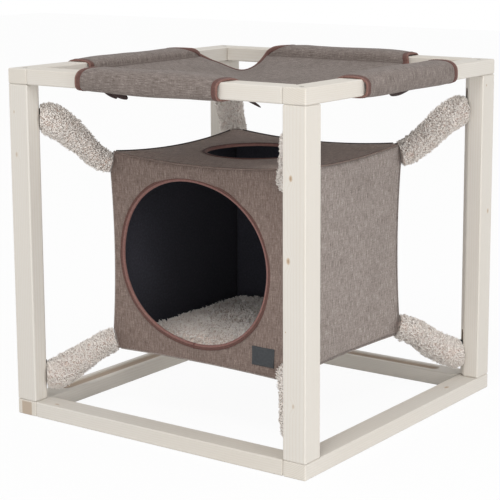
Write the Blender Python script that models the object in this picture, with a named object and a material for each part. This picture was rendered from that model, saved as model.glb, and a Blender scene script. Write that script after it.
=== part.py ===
"""Cat hammock: a whitewashed pine cube that carries a fabric bed on top and a hanging cave inside.

Metres, +Z up. The origin is on the floor under the middle of the frame. The cave's round entrance
faces -Y, which is called the front, and +X is the right side.
"""
import math

import bmesh
import bpy
from mathutils import Matrix, Vector

# Driving dimensions, in metres.

# the wooden frame
FRAME_SIDE = 0.600          # width and depth over the rails
FRAME_HEIGHT = 0.600
RAIL_WIDTH = 0.042
RAIL_THICKNESS = 0.026
POST_SIDE = 0.042
POST_CHAMFER = 0.013        # flat planed on each post's inner corner
ARRIS = 0.0018              # eased edge on all battens
GAP = 0.0003                # clearance between pieces that meet
CUTTER_OVERRUN = 0.002      # how far a cutting shape runs past the face it opens

# stopped cove in the top of the left and back floor rails
COVE_LENGTH = 0.420
COVE_WIDTH = 0.023
COVE_DEPTH = 0.007

# fixings of the frame
SCREW_SHANK = 0.0045
SCREW_HEAD = 0.0090
SCREW_HEAD_HEIGHT = 0.0028
SCREW_LENGTH = 0.070
SCREW_SINK = 0.0004
DOWEL_DIAMETER = 0.008
DOWEL_LENGTH = 0.036
DOWEL_NOSE = 0.001          # bevel round each end
DOWEL_OFFSET = 0.011        # from the screw towards the inside of the frame

# slots in the posts and the webbing toggles that hook into them
SLOT_END_DISTANCE = 0.050   # from the frame's top or bottom face to the slot
SLOT_LENGTH = 0.062
SLOT_WIDTH = 0.009
SLOT_DEPTH = 0.013
STRAP_HEIGHT = 0.036
STRAP_PLATE_WIDTH = 0.012
STRAP_PLATE_THICKNESS = 0.0014
STRAP_NECK = 0.0040
STRAP_BULB = 0.0072
STRAP_EASE = 0.0004
UPPER_STRAP_DROP = 0.087    # from the top of the frame to the middle of the webbing
LOWER_STRAP_RISE = 0.074    # from the floor to the middle of the webbing

# the hanging cave
CAVE_HALF = 0.177           # half width of a side wall at its middle
CAVE_CORNER_PULL = 0.005    # how much further out the corners are drawn
CAVE_TOP = 0.444            # height of the roof at its middle
CAVE_BOTTOM = 0.112         # height of the floor at its middle
CAVE_TOP_LIFT = 0.011       # the roof's corners stand higher than its middle
CAVE_BOTTOM_DROP = 0.002    # the floor's corners hang lower than its middle
CAVE_WALL = 0.004
CORNER_CUT = 0.013          # length cut off the cave's level edges where a leg is sewn in
CORNER_SLOPE = 0.37         # upright part of the corner cut's normal, for one part each way level
PANEL_CELLS = 8

ENTRANCE_SIDE_CLOTH = 0.0202    # left of the front wall's half width beside the entrance
ENTRANCE_END_CLOTH = 0.0222     # and of its half height above and below it
ENTRANCE_POWER = 2.12       # 2 is an ellipse, and more is squarer
ENTRANCE_TILT = math.radians(-10.0)
ENTRANCE_SHIFT = -0.0076    # along X, from the cave's middle
ENTRANCE_LIFT = 0.001       # over the cave's middle
ROOF_HOLE_CLOTH = 0.0805    # left of the roof's half width beside its hole
RIM_WIDTH = 0.0090
RIM_THICKNESS = 0.0066
RIM_EASE = 0.0018
RIM_STEPS = 40

LABEL_WIDTH = 0.045
LABEL_HEIGHT = 0.031
LABEL_THICKNESS = 0.0012
LABEL_SIDE_INSET = 0.0405   # from the wall's side to the label's middle
LABEL_FOOT_INSET = 0.0300   # from its foot to the label's middle

CUSHION_MARGIN = 0.006      # from the cave's walls to the cushion's corners
CUSHION_WAIST = 0.005       # how far its sides are drawn in between the corners
CUSHION_EDGE = 0.012        # height of the seam over the cave's floor
CUSHION_CROWN = 0.017       # height of the crown over the seam
CUSHION_FOOT = 0.97         # size of its underside, as a share of the seam's
CUSHION_CORNER_EASE = 0.035 # how much its corners are rounded in, as a share
CUSHION_CELLS = 12

# plush legs between the cave and the posts
LEG_POST_RADIUS = 0.0250
LEG_CAVE_RADIUS = 0.0205
LEG_BLUNT = 0.72            # radius of a leg's flat end, as a share of its full radius
LEG_BLUNT_LENGTH = 0.14     # share of the leg over which its end rounds off
LEG_POST_PULL = 0.26        # share of the reach that it runs straight off the post's flat
LEG_CAVE_PULL = 0.32        # and straight off the cave's corner
UPPER_LEG_INSET = 0.009     # how far down the corner's cut an upper leg is sewn on
LOWER_LEG_INSET = 0.003     # and how far up it a lower leg is
LEG_RING_POWER = 1.25       # above 1, its rings stand closer together near the post
UPPER_LEG_DROP = 0.087
LOWER_LEG_RISE = 0.0655
LEG_RINGS = 10
LEG_SIDES = 12

# the sheet on top
SHEET_THICKNESS = 0.0020
SLEEVE_CLEAR_SIDE = 0.0070  # from a rail's side to the middle of the cloth
SLEEVE_TOP = 0.0085         # from a rail's top to the middle of the cloth
SLEEVE_BOTTOM = 0.0045
SLEEVE_TOP_POWER = 0.70     # 1 is an ellipse, and less is squarer
SLEEVE_BOTTOM_POWER = 0.50
SLEEVE_HALF_SEAM = 0.151    # half length of a sleeve at its seam with the bed, without its tape
SLEEVE_HALF_TOP = 0.116
SLEEVE_HALF_OUTER = 0.1365
BED_SAG = 0.033             # from the sleeve's seam down to the middle of the bed
SCOOP_DROP = 0.031          # from the seam down to the middle of a scooped corner
SLEEVE_END = math.radians(18.0)
BED_RINGS = 4
SIDE_CELLS = 4
SCOOP_CELLS = 6
SLEEVE_STEPS = 20
TAPE_WIDTH = 0.0095
TAPE_THICKNESS = 0.0036
TAPE_GAP = 0.0005           # from the sheet's edge to its tape, more than GAP because both twist

# Places worked out from the driving dimensions.
HALF = FRAME_SIDE / 2
RAIL_MID = HALF - RAIL_WIDTH / 2
POST_MID = HALF - POST_SIDE / 2
CHAMFER_FACE = math.sqrt(2) * (HALF - POST_SIDE + POST_CHAMFER / 2)
UPPER_STRAP = FRAME_HEIGHT - UPPER_STRAP_DROP
UPPER_LEG = FRAME_HEIGHT - UPPER_LEG_DROP
CAVE_MID = (CAVE_TOP + CAVE_BOTTOM) / 2
CAVE_RISE = (CAVE_TOP - CAVE_BOTTOM) / 2
ENTRANCE_LONG = CAVE_HALF - ENTRANCE_SIDE_CLOTH     # half axes of the hole in the front wall
ENTRANCE_SHORT = CAVE_RISE - ENTRANCE_END_CLOTH
ENTRANCE_HEIGHT = CAVE_MID + ENTRANCE_LIFT
ROOF_HOLE = CAVE_HALF - ROOF_HOLE_CLOTH
LABEL_CENTRE_X = CAVE_HALF - LABEL_SIDE_INSET
LABEL_CENTRE_Z = CAVE_BOTTOM + LABEL_FOOT_INSET
INNER_SCALE = 1 - CAVE_WALL / CAVE_HALF
CORNERS = [(-1, -1), (1, -1), (1, 1), (-1, 1)]
SIDE_NAMES = {(-1, -1): "front_left", (1, -1): "front_right", (1, 1): "back_right", (-1, 1): "back_left"}


# Materials

def material(name, colour, roughness, metallic=0.0):
    made = bpy.data.materials.new(name)
    made.use_nodes = True
    shader = made.node_tree.nodes["Principled BSDF"]
    shader.inputs["Base Color"].default_value = (*colour, 1.0)
    shader.inputs["Roughness"].default_value = roughness
    shader.inputs["Metallic"].default_value = metallic
    made.diffuse_color = (*colour, 1.0)
    return made


# Shapes

def new_object(name, bm, finish, smooth_angle=None):
    """One named object from a bmesh, with its faces pointing out."""
    bmesh.ops.recalc_face_normals(bm, faces=bm.faces)
    mesh = bpy.data.meshes.new(name)
    bm.to_mesh(mesh)
    bm.free()
    if smooth_angle is not None:
        mesh.shade_smooth()
        mesh.set_sharp_from_angle(angle=math.radians(smooth_angle))
    mesh.materials.append(finish)
    obj = bpy.data.objects.new(name, mesh)
    bpy.context.scene.collection.objects.link(obj)
    return obj


def prism(points, height):
    """A level outline extruded upwards."""
    bm = bmesh.new()
    face = bm.faces.new([bm.verts.new((x, y, 0.0)) for x, y in points])
    raised = bmesh.ops.extrude_face_region(bm, geom=[face])["geom"]
    verts = [part for part in raised if isinstance(part, bmesh.types.BMVert)]
    bmesh.ops.translate(bm, verts=verts, vec=(0.0, 0.0, height))
    return bm


def turned(profile, steps):
    """A profile of (radius, height) points, from axis to axis, turned about Z."""
    bm = bmesh.new()
    verts = [bm.verts.new((radius, 0.0, height)) for radius, height in profile]
    edges = [bm.edges.new(pair) for pair in zip(verts, verts[1:])]
    bmesh.ops.spin(bm, geom=verts + edges, cent=(0, 0, 0), axis=(0, 0, 1), dvec=(0, 0, 0),
                   angle=2 * math.pi, steps=steps)
    bmesh.ops.remove_doubles(bm, verts=bm.verts, dist=0.00001)
    return bm


def loft(rings, closed=False):
    """Faces between rings of equal counts, with flat ends or joined round into a loop."""
    bm = bmesh.new()
    rows = [[bm.verts.new(point) for point in ring] for ring in rings]
    count = len(rows[0])
    pairs = list(zip(rows, rows[1:]))
    if closed:
        pairs.append((rows[-1], rows[0]))
    for low, high in pairs:
        for i in range(count):
            j = (i + 1) % count
            bm.faces.new((low[i], low[j], high[j], high[i]))
    if not closed:
        bm.faces.new(rows[0][::-1])
        bm.faces.new(rows[-1])
    return bm


def slab(upper, lower):
    """A closed body between two grids of points with the same rows and columns."""
    bm = bmesh.new()
    skins = [[[bm.verts.new(point) for point in row] for row in grid] for grid in (upper, lower)]
    rows, columns = len(upper) - 1, len(upper[0]) - 1
    for skin in skins:
        for i in range(rows):
            for j in range(columns):
                bm.faces.new((skin[i][j], skin[i + 1][j], skin[i + 1][j + 1], skin[i][j + 1]))
    rims = []
    for skin in skins:
        rim = [skin[i][0] for i in range(rows)] + [skin[rows][j] for j in range(columns)]
        rim += [skin[i][columns] for i in range(rows, 0, -1)] + [skin[0][j] for j in range(columns, 0, -1)]
        rims.append(rim)
    for i in range(len(rims[0])):
        j = (i + 1) % len(rims[0])
        bm.faces.new((rims[0][i], rims[0][j], rims[1][j], rims[1][i]))
    bmesh.ops.recalc_face_normals(bm, faces=bm.faces)
    return bm


def arc(centre, radius, start, stop, steps):
    """Points on an arc, both ends included."""
    angles = [start + (stop - start) * i / steps for i in range(steps + 1)]
    return [(centre[0] + radius * math.cos(a), centre[1] + radius * math.sin(a)) for a in angles]


def ease_edges(obj, width, segments=1):
    bevel = obj.modifiers.new("eased_edges", "BEVEL")
    bevel.width = width
    bevel.segments = segments
    bevel.limit_method = "ANGLE"
    bevel.angle_limit = math.radians(40)


def cutter(name, bm):
    """A shape that is only used to cut, shown as wire."""
    obj = new_object(name, bm, WIRE)
    obj.display_type = "WIRE"
    obj.hide_render = True
    return obj


def cut(obj, tool):
    boolean = obj.modifiers.new("cut_" + tool.name, "BOOLEAN")
    boolean.operation = "DIFFERENCE"
    boolean.solver = "EXACT"
    boolean.object = tool


# Frame

def batten(name, length, along_x, centre):
    """A rail lying flat, with eased edges."""
    size = (length, RAIL_WIDTH) if along_x else (RAIL_WIDTH, length)
    x, y = size[0] / 2, size[1] / 2
    obj = new_object(name, prism([(-x, -y), (x, -y), (x, y), (-x, y)], RAIL_THICKNESS), PINE)
    obj.location = centre
    ease_edges(obj, ARRIS)
    return obj


def post(name, sx, sy):
    """A square post with a flat planed on the corner that faces the cave."""
    h = POST_SIDE / 2
    inner = h - POST_CHAMFER
    outline = [(h, -h), (h, h), (-h, h), (-h, -inner), (-inner, -h)]
    outline = [(x * sx, y * sy) for x, y in outline]
    height = FRAME_HEIGHT - 2 * RAIL_THICKNESS - 2 * GAP
    obj = new_object(name, prism(outline, height), PINE)
    obj.location = (sx * POST_MID, sy * POST_MID, RAIL_THICKNESS + GAP)
    ease_edges(obj, ARRIS)
    return obj


def screw_profile(extra):
    """A countersunk screw standing upside up, grown by extra for its hole."""
    head, shank = SCREW_HEAD / 2 + extra, SCREW_SHANK / 2 + extra
    neck = -SCREW_HEAD_HEIGHT - extra
    tip = -SCREW_LENGTH - extra
    return [(0.0, 0.0), (head, 0.0), (shank, neck), (shank, tip + 2 * shank), (0.0, tip)]


def screw_hole_profile():
    """The screw's own shape with clearance, open at the surface above it."""
    profile = screw_profile(GAP)
    mouth = SCREW_SINK + CUTTER_OVERRUN
    return [(0.0, mouth), (profile[1][0], mouth)] + profile[1:]


def make_frame():
    """Four posts between two flat rectangles of rails, screwed and dowelled at the corners."""
    cross_length = FRAME_SIDE - 2 * RAIL_WIDTH - 2 * GAP
    rails = {}
    for level, z in (("bottom", 0.0), ("top", FRAME_HEIGHT - RAIL_THICKNESS)):
        for side, sign in (("left", -1), ("right", 1)):
            name = level + "_rail_" + side
            rails[name] = batten(name, FRAME_SIDE, False, (sign * RAIL_MID, 0.0, z))
        for side, sign in (("front", -1), ("back", 1)):
            name = level + "_rail_" + side
            rails[name] = batten(name, cross_length, True, (0.0, sign * RAIL_MID, z))

    posts = {corner: post("post_" + SIDE_NAMES[corner], *corner) for corner in CORNERS}
    make_coves(rails)
    make_screws(rails, posts)
    make_dowels(rails)
    return posts


def make_coves(rails):
    """A stopped cove with round ends along the middle of two floor rails."""
    radius = ((COVE_WIDTH / 2) ** 2 + COVE_DEPTH ** 2) / (2 * COVE_DEPTH)
    straight = COVE_LENGTH / 2 - COVE_WIDTH / 2
    quarter = arc((0.0, 0.0), radius, math.pi / 2, 0.0, 5)
    upper = [(r, straight + z) for r, z in quarter]
    profile = upper + [(r, -z) for r, z in reversed(upper)]
    height = RAIL_THICKNESS - COVE_DEPTH + radius
    for name, turn in (("bottom_rail_left", Matrix.Rotation(math.pi / 2, 4, "X")),
                       ("bottom_rail_back", Matrix.Rotation(math.pi / 2, 4, "Y"))):
        tool = cutter("cove_cutter_" + name, turned(profile, 20))
        x, y, _ = rails[name].location
        tool.matrix_world = Matrix.Translation((x, y, height)) @ turn
        cut(rails[name], tool)


def make_screws(rails, posts):
    """A countersunk screw down or up through each side rail's end into the post."""
    for corner in CORNERS:
        sx, sy = corner
        side = "left" if sx < 0 else "right"
        for level, z, flip in (("top", FRAME_HEIGHT - SCREW_SINK, 0.0), ("bottom", SCREW_SINK, math.pi)):
            place = Matrix.Translation((sx * POST_MID, sy * POST_MID, z)) @ Matrix.Rotation(flip, 4, "X")
            name = level + "_screw_" + SIDE_NAMES[corner]
            screw = new_object(name, turned(screw_profile(0.0), 12), STEEL, 35)
            screw.matrix_world = place
            tool = cutter("cutter_" + name, turned(screw_hole_profile(), 12))
            tool.matrix_world = place
            cut(rails[level + "_rail_" + side], tool)
            cut(posts[corner], tool)


def make_dowels(rails):
    """A blind dowel across each butt joint between a side rail and a cross rail."""
    for corner in CORNERS:
        sx, sy = corner
        side = "left" if sx < 0 else "right"
        cross = "front" if sy < 0 else "back"
        for level, z in (("bottom", RAIL_THICKNESS / 2), ("top", FRAME_HEIGHT - RAIL_THICKNESS / 2)):
            joint = (sx * (HALF - RAIL_WIDTH), sy * (RAIL_MID - DOWEL_OFFSET), z)
            place = Matrix.Translation(joint) @ Matrix.Rotation(math.pi / 2, 4, "Y")
            name = level + "_dowel_" + SIDE_NAMES[corner]
            half, r = DOWEL_LENGTH / 2, DOWEL_DIAMETER / 2
            nose_radius, nose_start = r - DOWEL_NOSE, half - DOWEL_NOSE
            profile = [(0.0, half), (nose_radius, half), (r, nose_start), (r, -nose_start),
                       (nose_radius, -half), (0.0, -half)]
            dowel = new_object(name, turned(profile, 12), BEECH, 35)
            dowel.matrix_world = place
            reach = half + GAP
            hole = [(0.0, reach), (r + GAP, reach), (r + GAP, -reach), (0.0, -reach)]
            tool = cutter("cutter_" + name, turned(hole, 12))
            tool.matrix_world = place
            cut(rails[level + "_rail_" + side], tool)
            cut(rails[level + "_rail_" + cross], tool)


# Slots and webbing

def corner_turn(sx, sy):
    """Turns local +Y to point from the middle of the frame out through a post."""
    return Matrix.Rotation(math.atan2(sy, sx) - math.pi / 2, 4, "Z")


def make_slots_and_straps(posts):
    """Each post has a routed slot near either end, and a leg's webbing toggle hooks into it."""
    straight = SLOT_LENGTH / 2 - SLOT_WIDTH / 2
    stadium = arc((0.0, straight), SLOT_WIDTH / 2, 0.0, math.pi, 8)
    stadium += arc((0.0, -straight), SLOT_WIDTH / 2, math.pi, 2 * math.pi, 8)
    slot_levels = {"lower": SLOT_END_DISTANCE + SLOT_LENGTH / 2,
                   "upper": FRAME_HEIGHT - SLOT_END_DISTANCE - SLOT_LENGTH / 2}
    strap_levels = {"lower": LOWER_STRAP_RISE, "upper": UPPER_STRAP}
    for corner in CORNERS:
        turn = corner_turn(*corner)
        for level in ("lower", "upper"):
            name = level + "_strap_" + SIDE_NAMES[corner]
            rings = [[(x, y, z) for x, z in stadium] for y in (-CUTTER_OVERRUN, SLOT_DEPTH)]
            tool = cutter("slot_cutter_" + name, loft(rings))
            tool.matrix_world = turn @ Matrix.Translation((0.0, CHAMFER_FACE, slot_levels[level]))
            cut(posts[corner], tool)
            strap = new_object(name, strap_shape(), WEBBING, 35)
            height = strap_levels[level] - STRAP_HEIGHT / 2
            strap.matrix_world = turn @ Matrix.Translation((0.0, CHAMFER_FACE, height))
            ease_edges(strap, STRAP_EASE)


def strap_shape():
    """Webbing seen from above: a plate on the post's flat, a neck, and a round toggle in the slot."""
    plate, neck, bulb = STRAP_PLATE_WIDTH / 2, STRAP_NECK / 2, STRAP_BULB / 2
    centre = SLOT_DEPTH - GAP - bulb
    start = -math.acos(neck / bulb)
    right = arc((0.0, centre), bulb, start, math.pi / 2, 5)
    half = [(plate, -GAP - STRAP_PLATE_THICKNESS), (plate, -GAP), (neck, -GAP)] + right
    outline = half + [(-x, y) for x, y in reversed(half[:-1])]
    return prism(outline, STRAP_HEIGHT)


# Cave

def cave_point(u, v, w, scale=1.0):
    """A point of the cave, where u, v and w run from -1 to 1 along X, Y and Z.

    The corners are drawn out by the legs, so every edge bows inwards between them.
    """
    lift = (CAVE_TOP_LIFT + CAVE_BOTTOM_DROP) / 2 + w * (CAVE_TOP_LIFT - CAVE_BOTTOM_DROP) / 2
    x = u * (CAVE_HALF + CAVE_CORNER_PULL * (v * w) ** 2)
    y = v * (CAVE_HALF + CAVE_CORNER_PULL * (u * w) ** 2)
    z = w * (CAVE_RISE + lift * (u * v) ** 2)
    return Vector((x * scale, y * scale, CAVE_MID + z * scale))


def front_depth(x, z):
    """How far in front of the cave's middle the front wall's outer face lies at x and z."""
    u, w = x / CAVE_HALF, (z - CAVE_MID) / CAVE_RISE
    for _ in range(4):
        point = cave_point(u, -1.0, w)
        u += (x - point.x) / CAVE_HALF
        w += (z - point.z) / CAVE_RISE
    return -cave_point(u, -1.0, w).y


def roof_height(x, y):
    """The roof's outer face over x and y."""
    u, v = x / CAVE_HALF, y / CAVE_HALF
    for _ in range(4):
        point = cave_point(u, v, 1.0)
        u += (x - point.x) / CAVE_HALF
        v += (y - point.y) / CAVE_HALF
    return cave_point(u, v, 1.0).z


def corner_plane(sx, sy, sz):
    """The plane that cuts a corner off the cave: a point on it in the cut's middle, and its normal."""
    corner = cave_point(sx, sy, sz)
    third = CORNER_CUT / 3
    middle = corner - Vector((sx * third, sy * third, sz * third / CORNER_SLOPE))
    return middle, Vector((sx, sy, sz * CORNER_SLOPE)).normalized()


def panel_bmesh(place, cells):
    """A sewn wall: an outer and an inner face joined round a mitred edge.

    place turns two numbers from -1 to 1 into the three that cave_point takes.
    """
    reach = 1 - GAP / (2 * CAVE_HALF)
    steps = [-reach + 2 * reach * i / cells for i in range(cells + 1)]
    bm = slab(*([[cave_point(*place(a, b), scale) for b in steps] for a in steps]
                for scale in (1.0, INNER_SCALE)))
    for a in (-1, 1):
        for b in (-1, 1):
            point, normal = corner_plane(*place(a, b))
            geometry = bm.verts[:] + bm.edges[:] + bm.faces[:]
            result = bmesh.ops.bisect_plane(bm, geom=geometry, plane_co=point, plane_no=normal,
                                            clear_outer=True, dist=0.000001)
            loop = [part for part in result["geom_cut"] if isinstance(part, bmesh.types.BMEdge)]
            bmesh.ops.edgeloop_fill(bm, edges=loop)
    return bm


def signed_power(value, power):
    return math.copysign(abs(value) ** power, value)


def entrance_outline(inset, steps):
    """The entrance's outline, moved in by inset along its own normal, as (x, z) points."""
    power = 2 / ENTRANCE_POWER
    turn = Matrix.Rotation(ENTRANCE_TILT, 2)
    points = []
    for i in range(steps):
        angle = 2 * math.pi * (i + 0.5) / steps
        c, s = math.cos(angle), math.sin(angle)
        edge = Vector((ENTRANCE_LONG * signed_power(c, power), ENTRANCE_SHORT * signed_power(s, power)))
        normal = Vector((signed_power(c, 2 - power) / ENTRANCE_LONG,
                         signed_power(s, 2 - power) / ENTRANCE_SHORT))
        place = turn @ (edge - inset * normal.normalized())
        points.append((place.x + ENTRANCE_SHIFT, place.y + ENTRANCE_HEIGHT))
    return points


def rim_bands():
    """The binding's section: how far in from the hole's edge, and how far off the wall's middle."""
    near, far, half = GAP, GAP + RIM_WIDTH, RIM_THICKNESS / 2
    low = half - RIM_EASE
    outer = [(near, low), (near + RIM_EASE, half), (far - RIM_EASE, half), (far, low)]
    return outer + [(inset, -off) for inset, off in reversed(outer)]


def make_cave():
    """Six sewn walls, two bound openings, a bare label patch and a loose cushion."""
    walls = {
        "cave_wall_front": lambda a, b: (a, -1, b),
        "cave_wall_back": lambda a, b: (a, 1, b),
        "cave_wall_left": lambda a, b: (-1, a, b),
        "cave_wall_right": lambda a, b: (1, a, b),
        "cave_roof": lambda a, b: (a, b, 1),
        "cave_floor": lambda a, b: (a, b, -1),
    }
    made = {name: new_object(name, panel_bmesh(place, PANEL_CELLS), CANVAS, 30)
            for name, place in walls.items()}

    reach = CAVE_HALF + CAVE_CORNER_PULL
    depths = (-reach - CAVE_WALL, -reach + 3 * CAVE_WALL)
    outline = entrance_outline(0.0, RIM_STEPS)
    tool = cutter("entrance_cutter", loft([[(x, y, z) for x, z in outline] for y in depths]))
    cut(made["cave_wall_front"], tool)

    ring = arc((0.0, 0.0), ROOF_HOLE, 0.0, 2 * math.pi, RIM_STEPS)[:-1]
    heights = (CAVE_TOP - 3 * CAVE_WALL, CAVE_TOP + CAVE_TOP_LIFT + CAVE_WALL)
    tool = cutter("roof_hole_cutter", loft([[(x, y, z) for x, y in ring] for z in heights]))
    cut(made["cave_roof"], tool)
    make_rims()
    make_label()
    make_cushion()


def make_rims():
    """Bound edges that fill the holes' edges, following the cloth as it bows."""
    bands = rim_bands()
    columns = [entrance_outline(inset, RIM_STEPS) for inset, _ in bands]
    rings = []
    for i in range(RIM_STEPS):
        x, z = columns[0][i]
        middle = -front_depth(x, z) + CAVE_WALL / 2
        rings.append([(columns[k][i][0], middle - off, columns[k][i][1]) for k, (_, off) in enumerate(bands)])
    new_object("entrance_rim", loft(rings, closed=True), TAPE, 40)

    rings = []
    for i in range(RIM_STEPS):
        angle = 2 * math.pi * i / RIM_STEPS
        along = Vector((math.cos(angle), math.sin(angle)))
        edge = along * ROOF_HOLE
        middle = roof_height(edge.x, edge.y) - CAVE_WALL / 2
        rings.append([(*(along * (ROOF_HOLE - inset)), middle + off) for inset, off in bands])
    new_object("roof_rim", loft(rings, closed=True), TAPE, 40)


def make_label():
    """A small blank patch sewn low on the front wall."""
    columns = [LABEL_CENTRE_X + LABEL_WIDTH * (i / 4 - 0.5) for i in range(5)]
    heights = [LABEL_CENTRE_Z + LABEL_HEIGHT * (j / 3 - 0.5) for j in range(4)]
    skins = [[[(x, -front_depth(x, z) - off, z) for z in heights] for x in columns]
             for off in (2 * GAP, 2 * GAP + LABEL_THICKNESS)]
    new_object("blank_label", slab(*skins), LABEL)


def make_cushion():
    """A flat cushion with a crowned top and sides drawn in between its corners."""
    half = CAVE_HALF * INNER_SCALE - CUSHION_MARGIN
    base = CAVE_MID - CAVE_RISE * INNER_SCALE + GAP
    steps = [-1 + 2 * i / CUSHION_CELLS for i in range(CUSHION_CELLS + 1)]

    def plan(a, b, share):
        round_off = share * (1 - CUSHION_CORNER_EASE * (a * b) ** 4)
        x = a * (half - CUSHION_WAIST * (1 - b ** 2)) * round_off
        y = b * (half - CUSHION_WAIST * (1 - a ** 2)) * round_off
        return x, y

    def crown(a, b):
        return base + CUSHION_EDGE + CUSHION_CROWN * math.sqrt((1 - a ** 4) * (1 - b ** 4))

    top = [[(*plan(a, b, 1.0), crown(a, b)) for b in steps] for a in steps]
    bottom = [[(*plan(a, b, CUSHION_FOOT), base) for b in steps] for a in steps]
    new_object("cushion", slab(top, bottom), PLUSH, 30)


# Legs

def make_leg(sx, sy, upper):
    """A stuffed plush leg, drawn out along a smooth curve from a post to a corner of the cave."""
    level = "upper" if upper else "lower"
    sz = 1 if upper else -1
    outward = Vector((sx, sy, 0.0)).normalized()
    across = Vector((-outward.y, outward.x, 0.0))
    post_height = UPPER_LEG if upper else LOWER_LEG_RISE
    off_post = 2 * GAP + STRAP_PLATE_THICKNESS
    start = outward * (CHAMFER_FACE - off_post) + Vector((0.0, 0.0, post_height))
    middle, normal = corner_plane(sx, sy, sz)
    down_the_cut = across.cross(normal)
    end = middle + normal * GAP + down_the_cut * (UPPER_LEG_INSET if upper else -LOWER_LEG_INSET)
    reach = (start - end).length
    points = [start, start - outward * LEG_POST_PULL * reach, end + normal * LEG_CAVE_PULL * reach, end]

    rings = []
    for i in range(LEG_RINGS + 1):
        t = (i / LEG_RINGS) ** LEG_RING_POWER
        weights = ((1 - t) ** 3, 3 * t * (1 - t) ** 2, 3 * t * t * (1 - t), t ** 3)
        place = sum((p * k for p, k in zip(points, weights)), Vector())
        slopes = (-3 * (1 - t) ** 2, 3 * (1 - t) * (1 - 3 * t), 3 * t * (2 - 3 * t), 3 * t * t)
        along = sum((p * k for p, k in zip(points, slopes)), Vector()).normalized()
        if i == 0:
            along = -outward
        if i == LEG_RINGS:
            along = -normal
        ease = t * t * (3 - 2 * t)
        blunt = math.sqrt(max(0.0, 1 - (1 - min(t / LEG_BLUNT_LENGTH, 1.0)) ** 2))
        radius = LEG_POST_RADIUS + (LEG_CAVE_RADIUS - LEG_POST_RADIUS) * ease
        radius *= LEG_BLUNT + (1 - LEG_BLUNT) * blunt
        upright = across.cross(along)
        ring = []
        for k in range(LEG_SIDES):
            a = 2 * math.pi * k / LEG_SIDES
            ring.append(place + radius * (math.cos(a) * across + math.sin(a) * upright))
        rings.append(ring)
    new_object(level + "_leg_" + SIDE_NAMES[(sx, sy)], loft(rings), PLUSH, 40)


# Sheet on top

SLEEVE_MID = RAIL_MID
SLEEVE_REACH = RAIL_WIDTH / 2 + SLEEVE_CLEAR_SIDE
SLEEVE_RISE = (RAIL_THICKNESS + SLEEVE_TOP + SLEEVE_BOTTOM) / 2
SLEEVE_HEIGHT = FRAME_HEIGHT + SLEEVE_TOP - SLEEVE_RISE
SEAM = SLEEVE_MID - SLEEVE_REACH


def sleeve_section(step):
    """Point of a sleeve's section and half its length there, from the bed's seam over the rail."""
    angle = math.pi - (2 * math.pi - SLEEVE_END) * step / SLEEVE_STEPS
    c, s = math.cos(angle), math.sin(angle)
    power = SLEEVE_TOP_POWER if s > 0 else SLEEVE_BOTTOM_POWER
    out = SLEEVE_MID + SLEEVE_REACH * signed_power(c, power)
    up = SLEEVE_HEIGHT + SLEEVE_RISE * signed_power(s, power)
    if s < 0:
        return out, up, SLEEVE_HALF_OUTER
    side_half = SLEEVE_HALF_SEAM if c < 0 else SLEEVE_HALF_OUTER
    return out, up, SLEEVE_HALF_TOP + (side_half - SLEEVE_HALF_TOP) * c * c


def turned_quarter(side, out, along, up):
    """Turns a point of the front sheet's side, out and along, to one of the four sides."""
    out_x, out_y = ((0, -1), (1, 0), (0, 1), (-1, 0))[side]
    return Vector((out * out_x - along * out_y, out * out_y + along * out_x, up))


def bed_edge():
    """The bed's outline, point by point: four seams and four scooped corners, by turns."""
    radius = SEAM - SLEEVE_HALF_SEAM
    outline = []
    for side in range(4):
        for i in range(SIDE_CELLS):
            along = SLEEVE_HALF_SEAM * (2 * i / SIDE_CELLS - 1)
            outline.append(turned_quarter(side, SEAM, along, SLEEVE_HEIGHT))
        for i in range(SCOOP_CELLS):
            angle = -math.pi / 2 - math.pi / 2 * i / SCOOP_CELLS
            out = SEAM + radius * math.cos(angle)
            along = SEAM + radius * math.sin(angle)
            drop = SCOOP_DROP * math.sin(math.pi * i / SCOOP_CELLS)
            outline.append(turned_quarter(side, out, along, SLEEVE_HEIGHT - drop))
    return outline


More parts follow.
